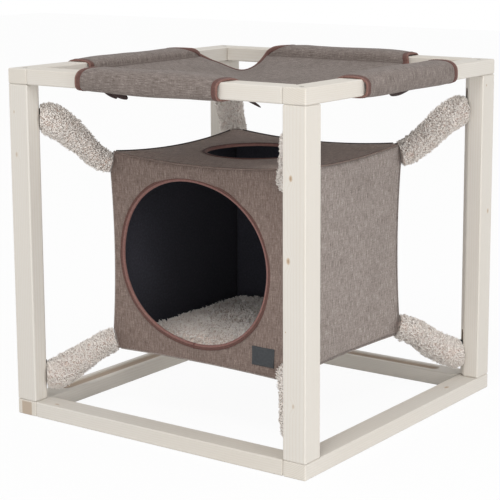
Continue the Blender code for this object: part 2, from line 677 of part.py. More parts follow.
def make_sheet():
    """One piece of cloth: a sagging bed whose four sides wrap round the top rails."""
    bm = bmesh.new()
    outline = bed_edge()
    centre = bm.verts.new((0.0, 0.0, SLEEVE_HEIGHT - BED_SAG))
    rings = []
    for ring in range(1, BED_RINGS + 1):
        share = ring / BED_RINGS
        row = []
        for point in outline:
            up = centre.co.z + (point.z - centre.co.z) * share ** 2
            row.append(bm.verts.new((point.x * share, point.y * share, up)))
        rings.append(row)
    count = len(outline)
    for i in range(count):
        j = (i + 1) % count
        bm.faces.new((centre, rings[0][i], rings[0][j]))
        for low, high in zip(rings, rings[1:]):
            bm.faces.new((low[i], high[i], high[j], low[j]))

    edge = rings[-1]
    paths = []
    flaps = []
    for side in range(4):
        first = side * (SIDE_CELLS + SCOOP_CELLS)
        row = [edge[(first + i) % count] for i in range(SIDE_CELLS + 1)]
        flap = [row]
        for step in range(1, SLEEVE_STEPS + 1):
            out, up, half = sleeve_section(step)
            fresh = []
            for i in range(SIDE_CELLS + 1):
                fresh.append(bm.verts.new(turned_quarter(side, out, half * (2 * i / SIDE_CELLS - 1), up)))
            for i in range(SIDE_CELLS):
                bm.faces.new((flap[-1][i], fresh[i], fresh[i + 1], flap[-1][i + 1]))
            flap.append(fresh)
        flaps.append(flap)
    for side in range(4):
        first = side * (SIDE_CELLS + SCOOP_CELLS) + SIDE_CELLS
        scoop = [edge[(first + i) % count] for i in range(SCOOP_CELLS + 1)]
        down = [row[-1] for row in reversed(flaps[side][1:])]
        up = [row[0] for row in flaps[(side + 1) % 4][1:]]
        paths.append(down + scoop + up)

    bmesh.ops.recalc_face_normals(bm, faces=bm.faces)
    bm.normal_update()
    if centre.normal.z < 0:
        bmesh.ops.reverse_faces(bm, faces=bm.faces)
        bm.normal_update()
    tapes = [[(v.co.copy(), v.normal.copy()) for v in path] for path in paths]
    thicken(bm, SHEET_THICKNESS)
    new_object("hammock_sheet", bm, CANVAS, 30)
    for (sx, sy), tape in zip(((1, -1), (1, 1), (-1, 1), (-1, -1)), tapes):
        make_tape("hammock_tape_" + SIDE_NAMES[(sx, sy)], tape)


def thicken(bm, thickness):
    """Gives an open sheet its thickness, half to either side, and closes its rim."""
    rim = [edge for edge in bm.edges if edge.is_boundary]
    below = {v: bm.verts.new(v.co - v.normal * thickness / 2) for v in bm.verts[:]}
    faces = bm.faces[:]
    normals = {v: v.normal.copy() for v in below}
    for v, normal in normals.items():
        v.co += normal * thickness / 2
    for face in faces:
        bm.faces.new([below[v] for v in reversed(face.verts)])
    for edge in rim:
        a, b = edge.verts
        bm.faces.new((a, b, below[b], below[a]))


def make_tape(name, path):
    """A binding that runs along the sheet's edge, from under one rail to under the next."""
    near, far = TAPE_GAP, TAPE_GAP + TAPE_WIDTH
    lip, half = SHEET_THICKNESS / 2, TAPE_THICKNESS / 2
    ease = half - lip
    section = [(near, lip), (near + ease, half), (far - ease, half), (far, lip), (far, -lip),
               (far - ease, -half), (near + ease, -half), (near, -lip)]
    rings = []
    for i, (place, normal) in enumerate(path):
        before = path[max(i - 1, 0)][0]
        after = path[min(i + 1, len(path) - 1)][0]
        along = (after - before).normalized()
        off_edge = along.cross(normal).normalized()
        rings.append([place + off_edge * out + normal * up for out, up in section])
    new_object(name, loft(rings), TAPE, 40)


# Build

for old in list(bpy.data.objects):
    bpy.data.objects.remove(old)

PINE = material("whitewashed_pine", (0.72, 0.68, 0.62), 0.6)
BEECH = material("beech", (0.60, 0.42, 0.25), 0.6)
STEEL = material("zinc_plated_steel", (0.35, 0.33, 0.30), 0.4, 1.0)
WEBBING = material("black_webbing", (0.02, 0.02, 0.02), 0.8)
CANVAS = material("heather_canvas", (0.26, 0.21, 0.18), 0.9)
TAPE = material("red_brown_tape", (0.19, 0.075, 0.06), 0.85)
LABEL = material("grey_label", (0.06, 0.06, 0.065), 0.8)
PLUSH = material("beige_plush", (0.60, 0.50, 0.43), 1.0)
WIRE = material("cutter", (0.8, 0.1, 0.1), 0.5)

frame_posts = make_frame()
make_slots_and_straps(frame_posts)
make_cave()
for side_x, side_y in CORNERS:
    for is_upper in (False, True):
        make_leg(side_x, side_y, is_upper)
make_sheet()
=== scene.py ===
# %% [markdown]
# # Cat hammock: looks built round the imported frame
#
# The object is a cube of whitewashed pine battens. A heather-brown sheet is sleeved over the four
# top rails, and a box-shaped fabric cave hangs in the middle of the cube on eight plush legs.
# The CAD model gives every size. Each cell below adds one real piece or one finish to it.

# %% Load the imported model
import math
from contextlib import contextmanager
from functools import reduce

import bmesh
import bpy
import numpy as np
from mathutils import Matrix, Vector, noise


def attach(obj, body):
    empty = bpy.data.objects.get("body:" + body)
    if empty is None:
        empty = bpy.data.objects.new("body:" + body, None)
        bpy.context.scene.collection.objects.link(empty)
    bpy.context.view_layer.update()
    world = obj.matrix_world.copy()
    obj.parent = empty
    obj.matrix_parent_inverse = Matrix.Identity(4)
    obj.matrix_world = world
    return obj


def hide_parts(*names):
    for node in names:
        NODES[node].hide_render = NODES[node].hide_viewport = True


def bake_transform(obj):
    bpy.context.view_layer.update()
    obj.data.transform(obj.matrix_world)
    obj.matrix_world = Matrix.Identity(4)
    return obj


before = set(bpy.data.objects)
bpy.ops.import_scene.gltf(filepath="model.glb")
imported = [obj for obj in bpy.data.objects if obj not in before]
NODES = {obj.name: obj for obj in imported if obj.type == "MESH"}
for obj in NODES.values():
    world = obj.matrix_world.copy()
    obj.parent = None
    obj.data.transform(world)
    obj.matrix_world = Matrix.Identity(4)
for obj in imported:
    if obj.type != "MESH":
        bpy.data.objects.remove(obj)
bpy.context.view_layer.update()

# %% Sizes shared with the CAD model, in metres
FRAME_HALF, FRAME_HEIGHT = 0.300, 0.600
POST_SIDE, POST_FLAT = 0.042, 0.013
RAIL_MIDDLE = 0.279
SLOT_FACE = math.sqrt(2) * (FRAME_HALF - POST_SIDE + POST_FLAT / 2)
SLOT_DEPTH, CLEAR = 0.013, 0.0003
CORNERS = {"front_left": (-1, -1), "front_right": (1, -1), "back_right": (1, 1), "back_left": (-1, 1)}


def corner_ways(sx, sy):
    """The way outwards along a corner's diagonal, and the level way across it."""
    away = Vector((sx, sy, 0)).normalized()
    return away, Vector((-away.y, away.x, 0))


def turns(steps):
    """Angles of evenly spaced points round a circle."""
    return [2 * math.pi * i / steps for i in range(steps)]


def put(name, data):
    """Adds an object that holds this data to the scene."""
    item = bpy.data.objects.new(name, data)
    bpy.context.scene.collection.objects.link(item)
    return item


def mesh_of(name, points, faces, edges=()):
    mesh = bpy.data.meshes.new(name)
    mesh.from_pydata([tuple(p) for p in points], edges, faces)
    return mesh

# %% [markdown]
# ## Camera
#
# The viewpoint was worked out from the frame's corners in the photograph, so it is written down as
# numbers: the angle round the object, the height of the view, a slight roll and the lens. The
# object sits a little off the middle of the picture, which is the small lens shift.

# %% Camera
VIEW_AZIMUTH, VIEW_ELEVATION, VIEW_ROLL = (math.radians(a) for a in (35.444, 9.944, -0.219))
VIEW_PLACE = Vector((1.55377, -2.17571, 0.83455))
FOCAL_PIXELS, PICTURE_PIXELS, FILM_WIDTH = 1556.4, 500, 36
PICTURE_MIDDLE = (260.46, 197.54)


def view_matrix():
    """The camera looks along its own -Z, so its third axis points back from the object."""
    level = Vector((math.cos(VIEW_AZIMUTH), math.sin(VIEW_AZIMUTH), 0))
    back = Vector((math.sin(VIEW_AZIMUTH) * math.cos(VIEW_ELEVATION),
                   -math.cos(VIEW_AZIMUTH) * math.cos(VIEW_ELEVATION), math.sin(VIEW_ELEVATION)))
    upright = back.cross(level)
    right = math.cos(VIEW_ROLL) * level + math.sin(VIEW_ROLL) * upright
    up = math.cos(VIEW_ROLL) * upright - math.sin(VIEW_ROLL) * level
    matrix = Matrix((right, up, back)).transposed().to_4x4()
    matrix.translation = VIEW_PLACE
    return matrix


camera = put("camera", bpy.data.cameras.new("camera"))
camera.matrix_world = view_matrix()
camera.data.sensor_width = FILM_WIDTH
camera.data.lens = FILM_WIDTH * FOCAL_PIXELS / PICTURE_PIXELS
camera.data.shift_x = 0.5 - PICTURE_MIDDLE[0] / PICTURE_PIXELS
camera.data.shift_y = PICTURE_MIDDLE[1] / PICTURE_PIXELS - 0.5
bpy.context.scene.camera = camera
print("camera lens", round(camera.data.lens, 1), "mm")

# %% [markdown]
# ## Shader arithmetic
#
# A material is a tree of nodes, and most of them are small sums. Here a node's output is wrapped
# in a class that understands + - * / and **, so that a pattern reads like a formula. Every other
# node comes from one method, which takes its type, its settings and what goes into its sockets.

# %% Signals and finishes
def arithmetic(operation, swapped=False):
    """A method that adds a Math node for this operation."""
    def method(self, *others):
        values = (*others, self) if swapped else (self, *others)
        return self.finish.node("ShaderNodeMath", {"operation": operation}, dict(enumerate(values)))
    return method


class Signal:
    """What comes out of a shader node. Arithmetic on it adds Math nodes."""

    __add__, __radd__ = arithmetic("ADD"), arithmetic("ADD", swapped=True)
    __sub__, __rsub__ = arithmetic("SUBTRACT"), arithmetic("SUBTRACT", swapped=True)
    __mul__, __rmul__ = arithmetic("MULTIPLY"), arithmetic("MULTIPLY", swapped=True)
    __truediv__, __pow__ = arithmetic("DIVIDE"), arithmetic("POWER")
    sine, size, fraction = arithmetic("SINE"), arithmetic("ABSOLUTE"), arithmetic("FRACT")
    most = arithmetic("MAXIMUM")

    def __init__(self, finish, socket):
        self.finish = finish
        self.socket = socket

    def rise(self, low, high):
        """0 below low, 1 above high, and a smooth step between."""
        return self.finish.node("ShaderNodeMapRange", {"interpolation_type": "SMOOTHSTEP"},
                                {"Value": self, "From Min": low, "From Max": high})


class Finish:
    """A material under construction, round one Principled shader."""

    def __init__(self, name):
        self.material = bpy.data.materials.new(name)
        self.material.use_nodes = True
        self.tree = self.material.node_tree
        self.shader = self.tree.nodes["Principled BSDF"]

    def node(self, kind, settings, inputs, output=0):
        """Adds a node, sets it up, fills its sockets and returns one output."""
        made = self.tree.nodes.new(kind)
        for name, value in settings.items():
            setattr(made, name, value)
        for key, value in inputs.items():
            socket = made.inputs[key]
            if isinstance(value, Signal):
                self.tree.links.new(value.socket, socket)
            elif isinstance(value, (tuple, list)) and len(value) == 3 and socket.type == "RGBA":
                socket.default_value = (*value, 1)
            else:
                socket.default_value = value
        return Signal(self, made.outputs[output])

    def place(self):
        """Object coordinates: metres in the object's own frame."""
        return self.node("ShaderNodeTexCoord", {}, {}, "Object")

    def cloth_place(self):
        """The cloth's own flat coordinates, in metres, from its UV map."""
        return self.node("ShaderNodeUVMap", {"uv_map": "flat"}, {})

    def parts(self, where):
        made = self.tree.nodes.new("ShaderNodeSeparateXYZ")
        self.tree.links.new(where.socket, made.inputs[0])
        return [Signal(self, socket) for socket in made.outputs]

    def noise(self, where, scale, detail=2.0, rough=0.5):
        return self.node("ShaderNodeTexNoise", {}, {"Vector": where, "Scale": scale, "Detail": detail,
                                                    "Roughness": rough})

    def grain(self, where, stretch, detail=2.0, rough=0.5, scale=1.0):
        """Noise with its own number of bumps a metre along each axis."""
        stretched = self.node("ShaderNodeMapping", {}, {"Vector": where, "Scale": stretch})
        return self.noise(stretched, scale, detail, rough)

    def mix(self, factor, first, second):
        return self.node("ShaderNodeMix", {"data_type": "RGBA"}, {0: factor, 6: first, 7: second}, 2)

    def attribute(self, name):
        return self.node("ShaderNodeAttribute", {"attribute_name": name}, {}, "Fac")

    def bump(self, height, distance, strength=1.0):
        return self.node("ShaderNodeBump", {}, {"Height": height, "Distance": distance, "Strength": strength})

    def finish(self, **sockets):
        """Sets or links the Principled shader's own sockets."""
        for name, value in sockets.items():
            socket = self.shader.inputs[name.replace("_", " ")]
            if isinstance(value, Signal):
                self.tree.links.new(value.socket, socket)
            elif socket.type == "RGBA":
                socket.default_value = (*value, 1)
            else:
                socket.default_value = value
        return self.material


def shade(red, green, blue):
    """A colour as a picture file writes it, 0 to 255, turned into the light it stands for."""
    def light(value):
        value /= 255
        return value / 12.92 if value <= 0.04045 else ((value + 0.055) / 1.055) ** 2.4
    return tuple(light(value) for value in (red, green, blue))


print("shader helpers ready")

# %% [markdown]
# ## Whitewashed pine
#
# Real boards are slices of a round trunk. The material is therefore solid: it measures the distance
# from a pith line that runs along the batten, outside it, and draws a thin darker band wherever a
# year's growth ends. Cathedral figure on the faces and rings on the sawn ends then come out of one
# formula. A thin white wash hides most of the contrast, and the open ends of the grain soak up more.
# Knots are short branches: near one, the rings bend round and the wood turns amber.

# %% Pine
WOOD_PALE = shade(219, 214, 206)
WOOD_BAND = shade(208, 198, 184)
WOOD_WARM = shade(211, 201, 186)
WOOD_FIBRE = shade(198, 188, 172)
WOOD_END = shade(203, 189, 166)
# Inside the coves and slots the colour is partly unwashed wood and partly painted shade of the recess.
COVE_RAW_AND_SHADE = shade(158, 128, 98)
SLOT_RAW_AND_SHADE = shade(104, 82, 62)
KNOT_RING = shade(190, 160, 122)
KNOT_HEART = shade(150, 118, 86)
YEAR = 0.0031                # thickness of a year's growth


def by_grain(axis, across, along):
    """Three numbers: one for the grain's axis, and another for the other two axes."""
    return [along if i == axis else across for i in range(3)]


def knot_distance(wood, where, parts, axis, place, size):
    """Distance from a knot's middle, drawn out along the grain and a little uneven."""
    away = [(parts[i] - place[i]) * stretch for i, stretch in enumerate(by_grain(axis, 1.0, 0.62))]
    distance = (away[0] * away[0] + away[1] * away[1] + away[2] * away[2]) ** 0.5
    return distance + (wood.noise(where, 300.0) - 0.5) * size * 0.5


def opened(wood, parts, colour, cove, slot):
    """Adds the darker colour inside a rail's cove or a post's slots: unwashed wood, deepened with painted
    shade.
    """
    if cove is not None:
        # Painted shade inside the cove, over unwashed wood.
        within = 1 - (parts[cove[0]] - cove[1]).size().rise(0.0108, 0.0116)
        colour = wood.mix(within * (1 - parts[2].rise(0.0225, 0.0254)) * 0.62, colour, COVE_RAW_AND_SHADE)
    if slot is not None:
        # Painted shade inside the slots, over unwashed wood.
        inwards = (parts[0] * slot[0] + parts[1] * slot[1]) * math.sqrt(0.5)
        beside = (parts[1] * slot[0] - parts[0] * slot[1]) * math.sqrt(0.5)
        inside = inwards.rise(SLOT_FACE + 0.0004, SLOT_FACE + 0.0012)
        inside = inside * (1 - inwards.rise(SLOT_FACE + 0.018, SLOT_FACE + 0.020))
        colour = wood.mix(inside * (1 - beside.size().rise(0.0078, 0.0084)), colour, SLOT_RAW_AND_SHADE)
    return colour


def pine(name, axis, pith, knots=(), drift=0.0, cove=None, slot=None):
    """axis is the grain's direction, 0 to 2. pith is where the trunk's middle crosses the other axes.

    A knot is (its place, its radius, how dark it is from 0 to 1). cove is the axis across a cove in the
    batten's top and where the cove's middle lies on it; inside, the cove is raw wood with painted shade. slot
    is the corner a post stands at, whose routed slots are raw wood, darkened with painted shade, inside.
    """
    wood = Finish(name)
    where = wood.place()
    parts = wood.parts(where)
    others = [part for i, part in enumerate(parts) if i != axis]
    slow = by_grain(axis, 9.0, 1.6)
    wander = wood.grain(where, slow) - 0.5
    first = others[0] - pith[0] + wander * 0.010
    second = others[1] - pith[1] + wander * 0.007
    radius = (first * first + second * second) ** 0.5
    rings, hearts = [], []
    for place, size, dark in knots:
        distance = knot_distance(wood, where, parts, axis, place, size)
        radius = radius + (1 - distance.rise(size * 0.6, size * 4.0)) * size * 1.1
        rings.append((1 - distance.rise(size * 0.75, size * 1.15)) * dark)
        hearts.append((1 - distance.rise(size * 0.25, size * 0.8)) * dark)
    year = (radius / YEAR + drift).fraction()
    band = year.rise(0.35, 0.92) * (1 - year.rise(0.93, 1.0))
    fibre = wood.grain(where, by_grain(axis, 520.0, 11.0), 3.0, 0.6)
    patch = wood.grain(where, [s * 0.6 for s in slow], 3.0, scale=1.3)
    colour = wood.mix(band * 0.34, WOOD_PALE, WOOD_BAND)
    colour = wood.mix(patch.rise(0.42, 0.75) * 0.50, colour, WOOD_WARM)
    colour = wood.mix(fibre.rise(0.52, 0.80) * 0.14, colour, WOOD_FIBRE)
    colour = opened(wood, parts, colour, cove, slot)
    if knots:
        colour = wood.mix(reduce(Signal.most, rings) * 0.72, colour, KNOT_RING)
        colour = wood.mix(reduce(Signal.most, hearts) * 0.8, colour, KNOT_HEART)
    if axis != 2:
        ends = parts[axis].size().rise(0.2986, 0.2996)
        colour = wood.mix(ends * (0.08 + band * 0.22), colour, WOOD_END)
    return wood.finish(Base_Color=colour, Roughness=0.58 + fibre * 0.16,
                       Normal=wood.bump(fibre * 0.6 + band * 0.4, 0.00025, 0.5))


PITHS = {
    "top_rail_front": (-0.30, 0.655), "top_rail_back": (0.33, 0.54), "top_rail_left": (-0.245, 0.66),
    "top_rail_right": (0.31, 0.67), "bottom_rail_front": (-0.25, -0.05), "bottom_rail_back": (0.24, 0.06),
    "bottom_rail_left": (-0.32, -0.04), "bottom_rail_right": (0.235, 0.085),
    "post_front_left": (-0.345, -0.24), "post_front_right": (0.335, -0.215),
    "post_back_left": (-0.24, 0.35), "post_back_right": (0.355, 0.33),
}
KNOTS = {
    "post_front_right": [((0.2735, -0.300, 0.4645), 0.0033, 0.8), ((0.2690, -0.300, 0.3390), 0.0036, 0.8),
                         ((0.2780, -0.300, 0.1150), 0.0026, 0.35), ((0.2850, -0.2600, 0.2200), 0.0014, 0.5),
                         ((0.2640, -0.300, 0.2290), 0.0009, 0.9)],
    "post_front_left": [((-0.2880, -0.300, 0.5270), 0.0020, 0.35), ((-0.2850, -0.300, 0.4550), 0.0030, 0.35)],
    "post_back_right": [((0.300, 0.2700, 0.5560), 0.0016, 0.8), ((0.300, 0.2850, 0.3300), 0.0030, 0.6)],
    "bottom_rail_right": [((0.2800, 0.1800, 0.026), 0.0040, 0.7)],
    "bottom_rail_front": [((-0.2200, -0.2870, 0.026), 0.0032, 0.5)],
    "top_rail_back": [((0.1900, 0.300, 0.588), 0.0036, 0.6)],
    "bottom_rail_left": [((-0.300, 0.0600, 0.013), 0.0040, 0.7)],
    "top_rail_left": [((-0.300, -0.0900, 0.589), 0.0038, 0.6)],
}


def repaint(node, material):
    """Gives a CAD node that keeps its shape a better finish."""
    mesh = NODES[node].data
    mesh.materials.clear()
    mesh.materials.append(material)


COVES = {"bottom_rail_back": (1, RAIL_MIDDLE), "bottom_rail_left": (0, -RAIL_MIDDLE)}
for batten, pith in PITHS.items():
    grain = 2 if batten.startswith("post") else (0 if batten.endswith(("front", "back")) else 1)
    repaint(batten, pine("pine_" + batten, grain, pith, KNOTS.get(batten, ()), 0.37 * len(batten),
                         COVES.get(batten), CORNERS.get(batten.removeprefix("post_"))))
print("pine battens:", len(PITHS))

# %% [markdown]
# ## Heather canvas
#
# The cloth is woven from two shades of flecked yarn. Close up it is a plain weave, and from a step
# away it shows fine streaks along the warp. Both are drawn in the cloth's own flat coordinates, in
# metres, so the pattern bends with the cloth and never slides over it.

# %% Cloth finishes
def heather(name, *shades):
    """Flecked canvas in a dark, a middle and a light shade. Streaks run along the flat map's second axis."""
    dark, middle, light = (shade(*numbers) for numbers in shades)
    cloth = Finish(name)
    flat = cloth.cloth_place()
    across, along, _ = cloth.parts(flat)
    streak = cloth.grain(flat, (600.0, 60.0, 1.0), 3.0, 0.6)
    slub = cloth.grain(flat, (1000.0, 260.0, 1.0), 2.0, 0.65)
    fleck = cloth.grain(flat, (2400.0, 900.0, 1.0), 2.0, 0.7)
    cross = cloth.grain(flat, (60.0, 700.0, 1.0), 2.0, 0.6)
    cloud = cloth.noise(flat, 14.0, 3.0)
    tone = (streak - 0.5) * 1.5 + (slub - 0.5) * 1.0 + (fleck - 0.5) * 0.7 + (cross - 0.5) * 0.6 + 0.5
    colour = cloth.mix(tone.rise(0.05, 0.52), dark, middle)
    colour = cloth.mix(tone.rise(0.48, 0.98), colour, light)
    colour = cloth.mix(cloud.rise(0.45, 0.75) * 0.22, colour, dark)
    weave = (across * 5200).sine() * (along * 5200).sine()
    cloth.finish(Base_Color=colour, Roughness=0.86 + (fleck - 0.5) * 0.1,
                 Normal=cloth.bump(weave * 0.5 + tone * 0.8, 0.00022, 0.6))
    return cloth.finish(Sheen_Weight=0.10, Sheen_Roughness=0.5, Specular_IOR_Level=0.2)


CANVAS = heather("heather_canvas", (106, 95, 89), (152, 141, 135), (194, 185, 179))
# The front wall and the sheet take darker copies of the canvas, which are painted shade, and the roof a
# lighter copy, which is painted light.
FRONT_CANVAS_PAINTED_SHADE = heather("heather_canvas_front_painted_shade", (94, 79, 72), (128, 111, 103), (162, 147, 139))
ROOF_CANVAS_PAINTED_LIGHT = heather("heather_canvas_roof_painted_light", (132, 115, 107), (173, 154, 145), (207, 191, 182))
SHEET_CANVAS_PAINTED_SHADE = heather("heather_canvas_sheet_painted_shade", (93, 83, 77), (126, 115, 109), (161, 151, 145))


def plain_cloth(name, base, light, rib=3000.0, roughness=0.85, sheen=0.1):
    """A closely woven ribbon or lining in two shades, ribbed across its length."""
    cloth = Finish(name)
    flat = cloth.cloth_place()
    across, along, _ = cloth.parts(flat)
    rubbed = cloth.noise(flat, 260.0, 3.0)
    fine = cloth.noise(flat, 1400.0, 2.0)
    worn = rubbed.rise(0.35, 0.75) * 0.6 + (fine - 0.5) * 0.4
    ribs = (along * rib).sine() * 0.5 + (across * rib * 0.5).sine() * 0.25
    cloth.finish(Base_Color=cloth.mix(worn, shade(*base), shade(*light)),
                 Roughness=roughness + (fine - 0.5) * 0.1,
                 Normal=cloth.bump(ribs + fine * 0.6, 0.00012, 0.6))
    return cloth.finish(Sheen_Weight=sheen, Specular_IOR_Level=0.25)


TAPE = plain_cloth("red_brown_binding", (96, 68, 62), (118, 87, 80))
TAPE_LIGHT = plain_cloth("red_brown_binding_edge", (118, 86, 78), (146, 112, 103))
# The binding where it wraps the hoop's bead: the same red-brown tape, lighter as a painted highlight.
BEAD_PAINTED_HIGHLIGHT = plain_cloth("red_brown_binding_painted_highlight", (128, 92, 86), (150, 114, 107))
# A dark welt colour that is painted shade along the far edges of the roof.
WELT_PAINTED_SHADE = plain_cloth("welt_painted_shade", (74, 69, 65), (92, 86, 81))
LINING = plain_cloth("navy_lining", (56, 56, 64), (72, 72, 82), 2400.0, 0.95, 0.05)
WEBBING = plain_cloth("black_webbing", (26, 24, 25), (46, 43, 44), 4200.0, 0.75)
LABEL_CLOTH = plain_cloth("charcoal_label", (62, 65, 68), (76, 78, 81), 9000.0, 0.7)
# The tails take a much darker copy of the binding tape: painted shade where they hang below the sleeves.
TAIL_PAINTED_SHADE = plain_cloth("binding_painted_shade", (56, 43, 42), (76, 60, 57))
THREAD = plain_cloth("sewing_thread", (104, 92, 86), (128, 115, 108), 9000.0, 0.6)
THREAD_RED = plain_cloth("binding_thread", (92, 56, 52), (112, 72, 66), 9000.0, 0.6)
print("cloth finishes ready")

# %% [markdown]
# ## Plush
#
# The legs and the cushion are covered in a long, curled pile. The pile itself is geometry further
# down. Its colour is darker at the root, where light doesn't reach, and each lock has its own tone,
# which the geometry stores as attributes for the material to read.

# %% Plush, steel, beech
def plush(name, root, tip, stain):
    """Curled pile, with its colour from the lock's own tone and from how far up the lock a point is."""
    pile = Finish(name)
    where = pile.place()
    tone = pile.attribute("tone")
    up = pile.attribute("up")
    blotch = pile.noise(where, 55.0, 3.0, 0.6)
    colour = pile.mix((up * 0.85 + tone * 0.35).rise(0.05, 0.85), shade(*root), shade(*tip))
    colour = pile.mix(blotch.rise(0.54, 0.80) * 0.55, colour, shade(*stain))
    return pile.finish(Base_Color=colour, Roughness=0.92 - up * 0.1,
                       Normal=pile.bump(pile.noise(where, 900.0, 2.0), 0.0003, 0.5),
                       Sheen_Weight=0.25, Sheen_Roughness=0.6, Specular_IOR_Level=0.15)


PLUSH = plush("beige_plush", (234, 215, 204), (255, 248, 241), (249, 231, 219))
CUSHION_PLUSH = plush("cushion_plush", (232, 217, 207), (255, 249, 243), (243, 230, 220))

steel = Finish("zinc_plated_steel")
spangle = steel.noise(steel.place(), 2600.0, 2.0)
STEEL = steel.finish(Base_Color=steel.mix(spangle.rise(0.3, 0.8), shade(104, 98, 88), shade(160, 154, 142)),
                     Roughness=0.34 + spangle * 0.2, Metallic=1.0, Normal=steel.bump(spangle, 0.00005, 0.4))
beech = Finish("beech")
flecks = beech.grain(beech.place(), (60.0, 900.0, 900.0), 3.0)
BEECH = beech.finish(Base_Color=beech.mix(flecks.rise(0.3, 0.8), shade(196, 160, 118), shade(172, 130, 88)),
                     Roughness=0.6 + flecks * 0.1, Normal=beech.bump(flecks, 0.0002, 0.4))
for node in NODES:
    if "dowel" in node:
        repaint(node, BEECH)
print("plush, steel and beech ready")

# %% [markdown]
# ## Making meshes from grids of points
#
# Cloth, bindings and legs are all sheets of points in rows and columns. One helper turns such a grid
# into a mesh and gives it a flat map in metres, and another closes two grids into a thick panel.

# %% Mesh helpers
def quads(rows, columns, start=0, wrap=False):
    """Faces of a grid whose points are numbered row by row."""
    faces = []
    for i in range(rows - 1):
        for j in range(columns if wrap else columns - 1):
            k = (j + 1) % columns
            faces.append((start + i * columns + j, start + i * columns + k,
                          start + (i + 1) * columns + k, start + (i + 1) * columns + j))
    return faces


def shell(rows, columns, wrap=False):
    """Faces of two like grids, one under the other: those of the first, of the second and of the rim."""
    under = rows * columns
    top = quads(rows, columns, 0, wrap)
    bottom = [face[::-1] for face in quads(rows, columns, under, wrap)]
    if wrap:
        loops = [list(range(columns)), list(range(under - columns, under))]
    else:
        left = [i * columns for i in range(rows - 1)]
        right = [i * columns + columns - 1 for i in range(rows - 1, 0, -1)]
        loops = [left + list(range(under - columns, under - 1)) + right + list(range(columns - 1, 0, -1))]
    rim = [(a, b, b + under, a + under) for loop in loops for a, b in zip(loop, loop[1:] + loop[:1])]
    return top, bottom, rim


def end_caps(rows, columns):
    """The two faces that close a tube of rings."""
    return [tuple(range(columns - 1, -1, -1)), tuple(range((rows - 1) * columns, rows * columns))]


def build(name, points, faces, materials, body, flat=None, slots=None):
    """One finished piece. flat gives each face's corners their place on the flat cloth."""
    mesh = mesh_of(name, points, faces)
    for material in materials:
        mesh.materials.append(material)
    if slots is not None:
        mesh.polygons.foreach_set("material_index", slots)
    if flat is not None:
        layer = mesh.uv_layers.new(name="flat")
        corners = np.zeros(len(mesh.loops), int)
        mesh.loops.foreach_get("vertex_index", corners)
        layer.data.foreach_set("uv", np.asarray(flat, float)[corners].ravel())
    mesh.shade_smooth()
    piece = put(name, mesh)
    if body:
        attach(piece, body)
    return piece


@contextmanager
def edited(piece):
    """Opens a piece's mesh for editing and writes it back."""
    shape = bmesh.new()
    shape.from_mesh(piece.data)
    yield shape
    shape.to_mesh(piece.data)
    shape.free()


def outward(piece):
    """Turns all faces to point out of the closed shape."""
    with edited(piece) as shape:
        bmesh.ops.remove_doubles(shape, verts=shape.verts, dist=0.000001)
        bmesh.ops.recalc_face_normals(shape, faces=shape.faces)
    return piece


def ribbon(name, path, section, materials, body, closed=False, slots=None):
    """Sweeps a section along a path of (point, sideways, upwards) places.

    section is a closed ring of (sideways, upwards) offsets, and slots is the material of each of its
    sides. The flat map runs along the path.
    """
    count, points, flat, run = len(section), [], [], 0.0
    girth = [0.0]
    for a, b in zip(section, section[1:]):
        girth.append(girth[-1] + math.dist(a, b))
    for i, (place, side, up) in enumerate(path):
        if i:
            run += (place - path[i - 1][0]).length
        for (out, high), around in zip(section, girth):
            points.append(place + side * out + up * high)
            flat.append((around, run))
    sides = quads(len(path), count, wrap=True)
    if closed:
        last = (len(path) - 1) * count
        sides += [(last + j, last + (j + 1) % count, (j + 1) % count, j) for j in range(count)]
    caps = [] if closed else end_caps(len(path), count)
    if slots is not None:
        slots = [slots[k % count] for k in range(len(sides))] + [0] * len(caps)
    return outward(build(name, points, sides + caps, materials, body, flat, slots))


def smooth_step(value):
    value = min(max(value, 0.0), 1.0)
    return value * value * (3 - 2 * value)


def signed_power(value, power):
    return math.copysign(abs(value) ** power, value)


print("mesh helpers ready")

# %% [markdown]
# ## Screws
#
# Eight countersunk screws hold the side rails to the posts. All are the same screw, so one is made,
# with a real cross recess pressed into its head, and Geometry Nodes put a copy at each point. Each
# copy is turned by a random amount, as a driver leaves them.

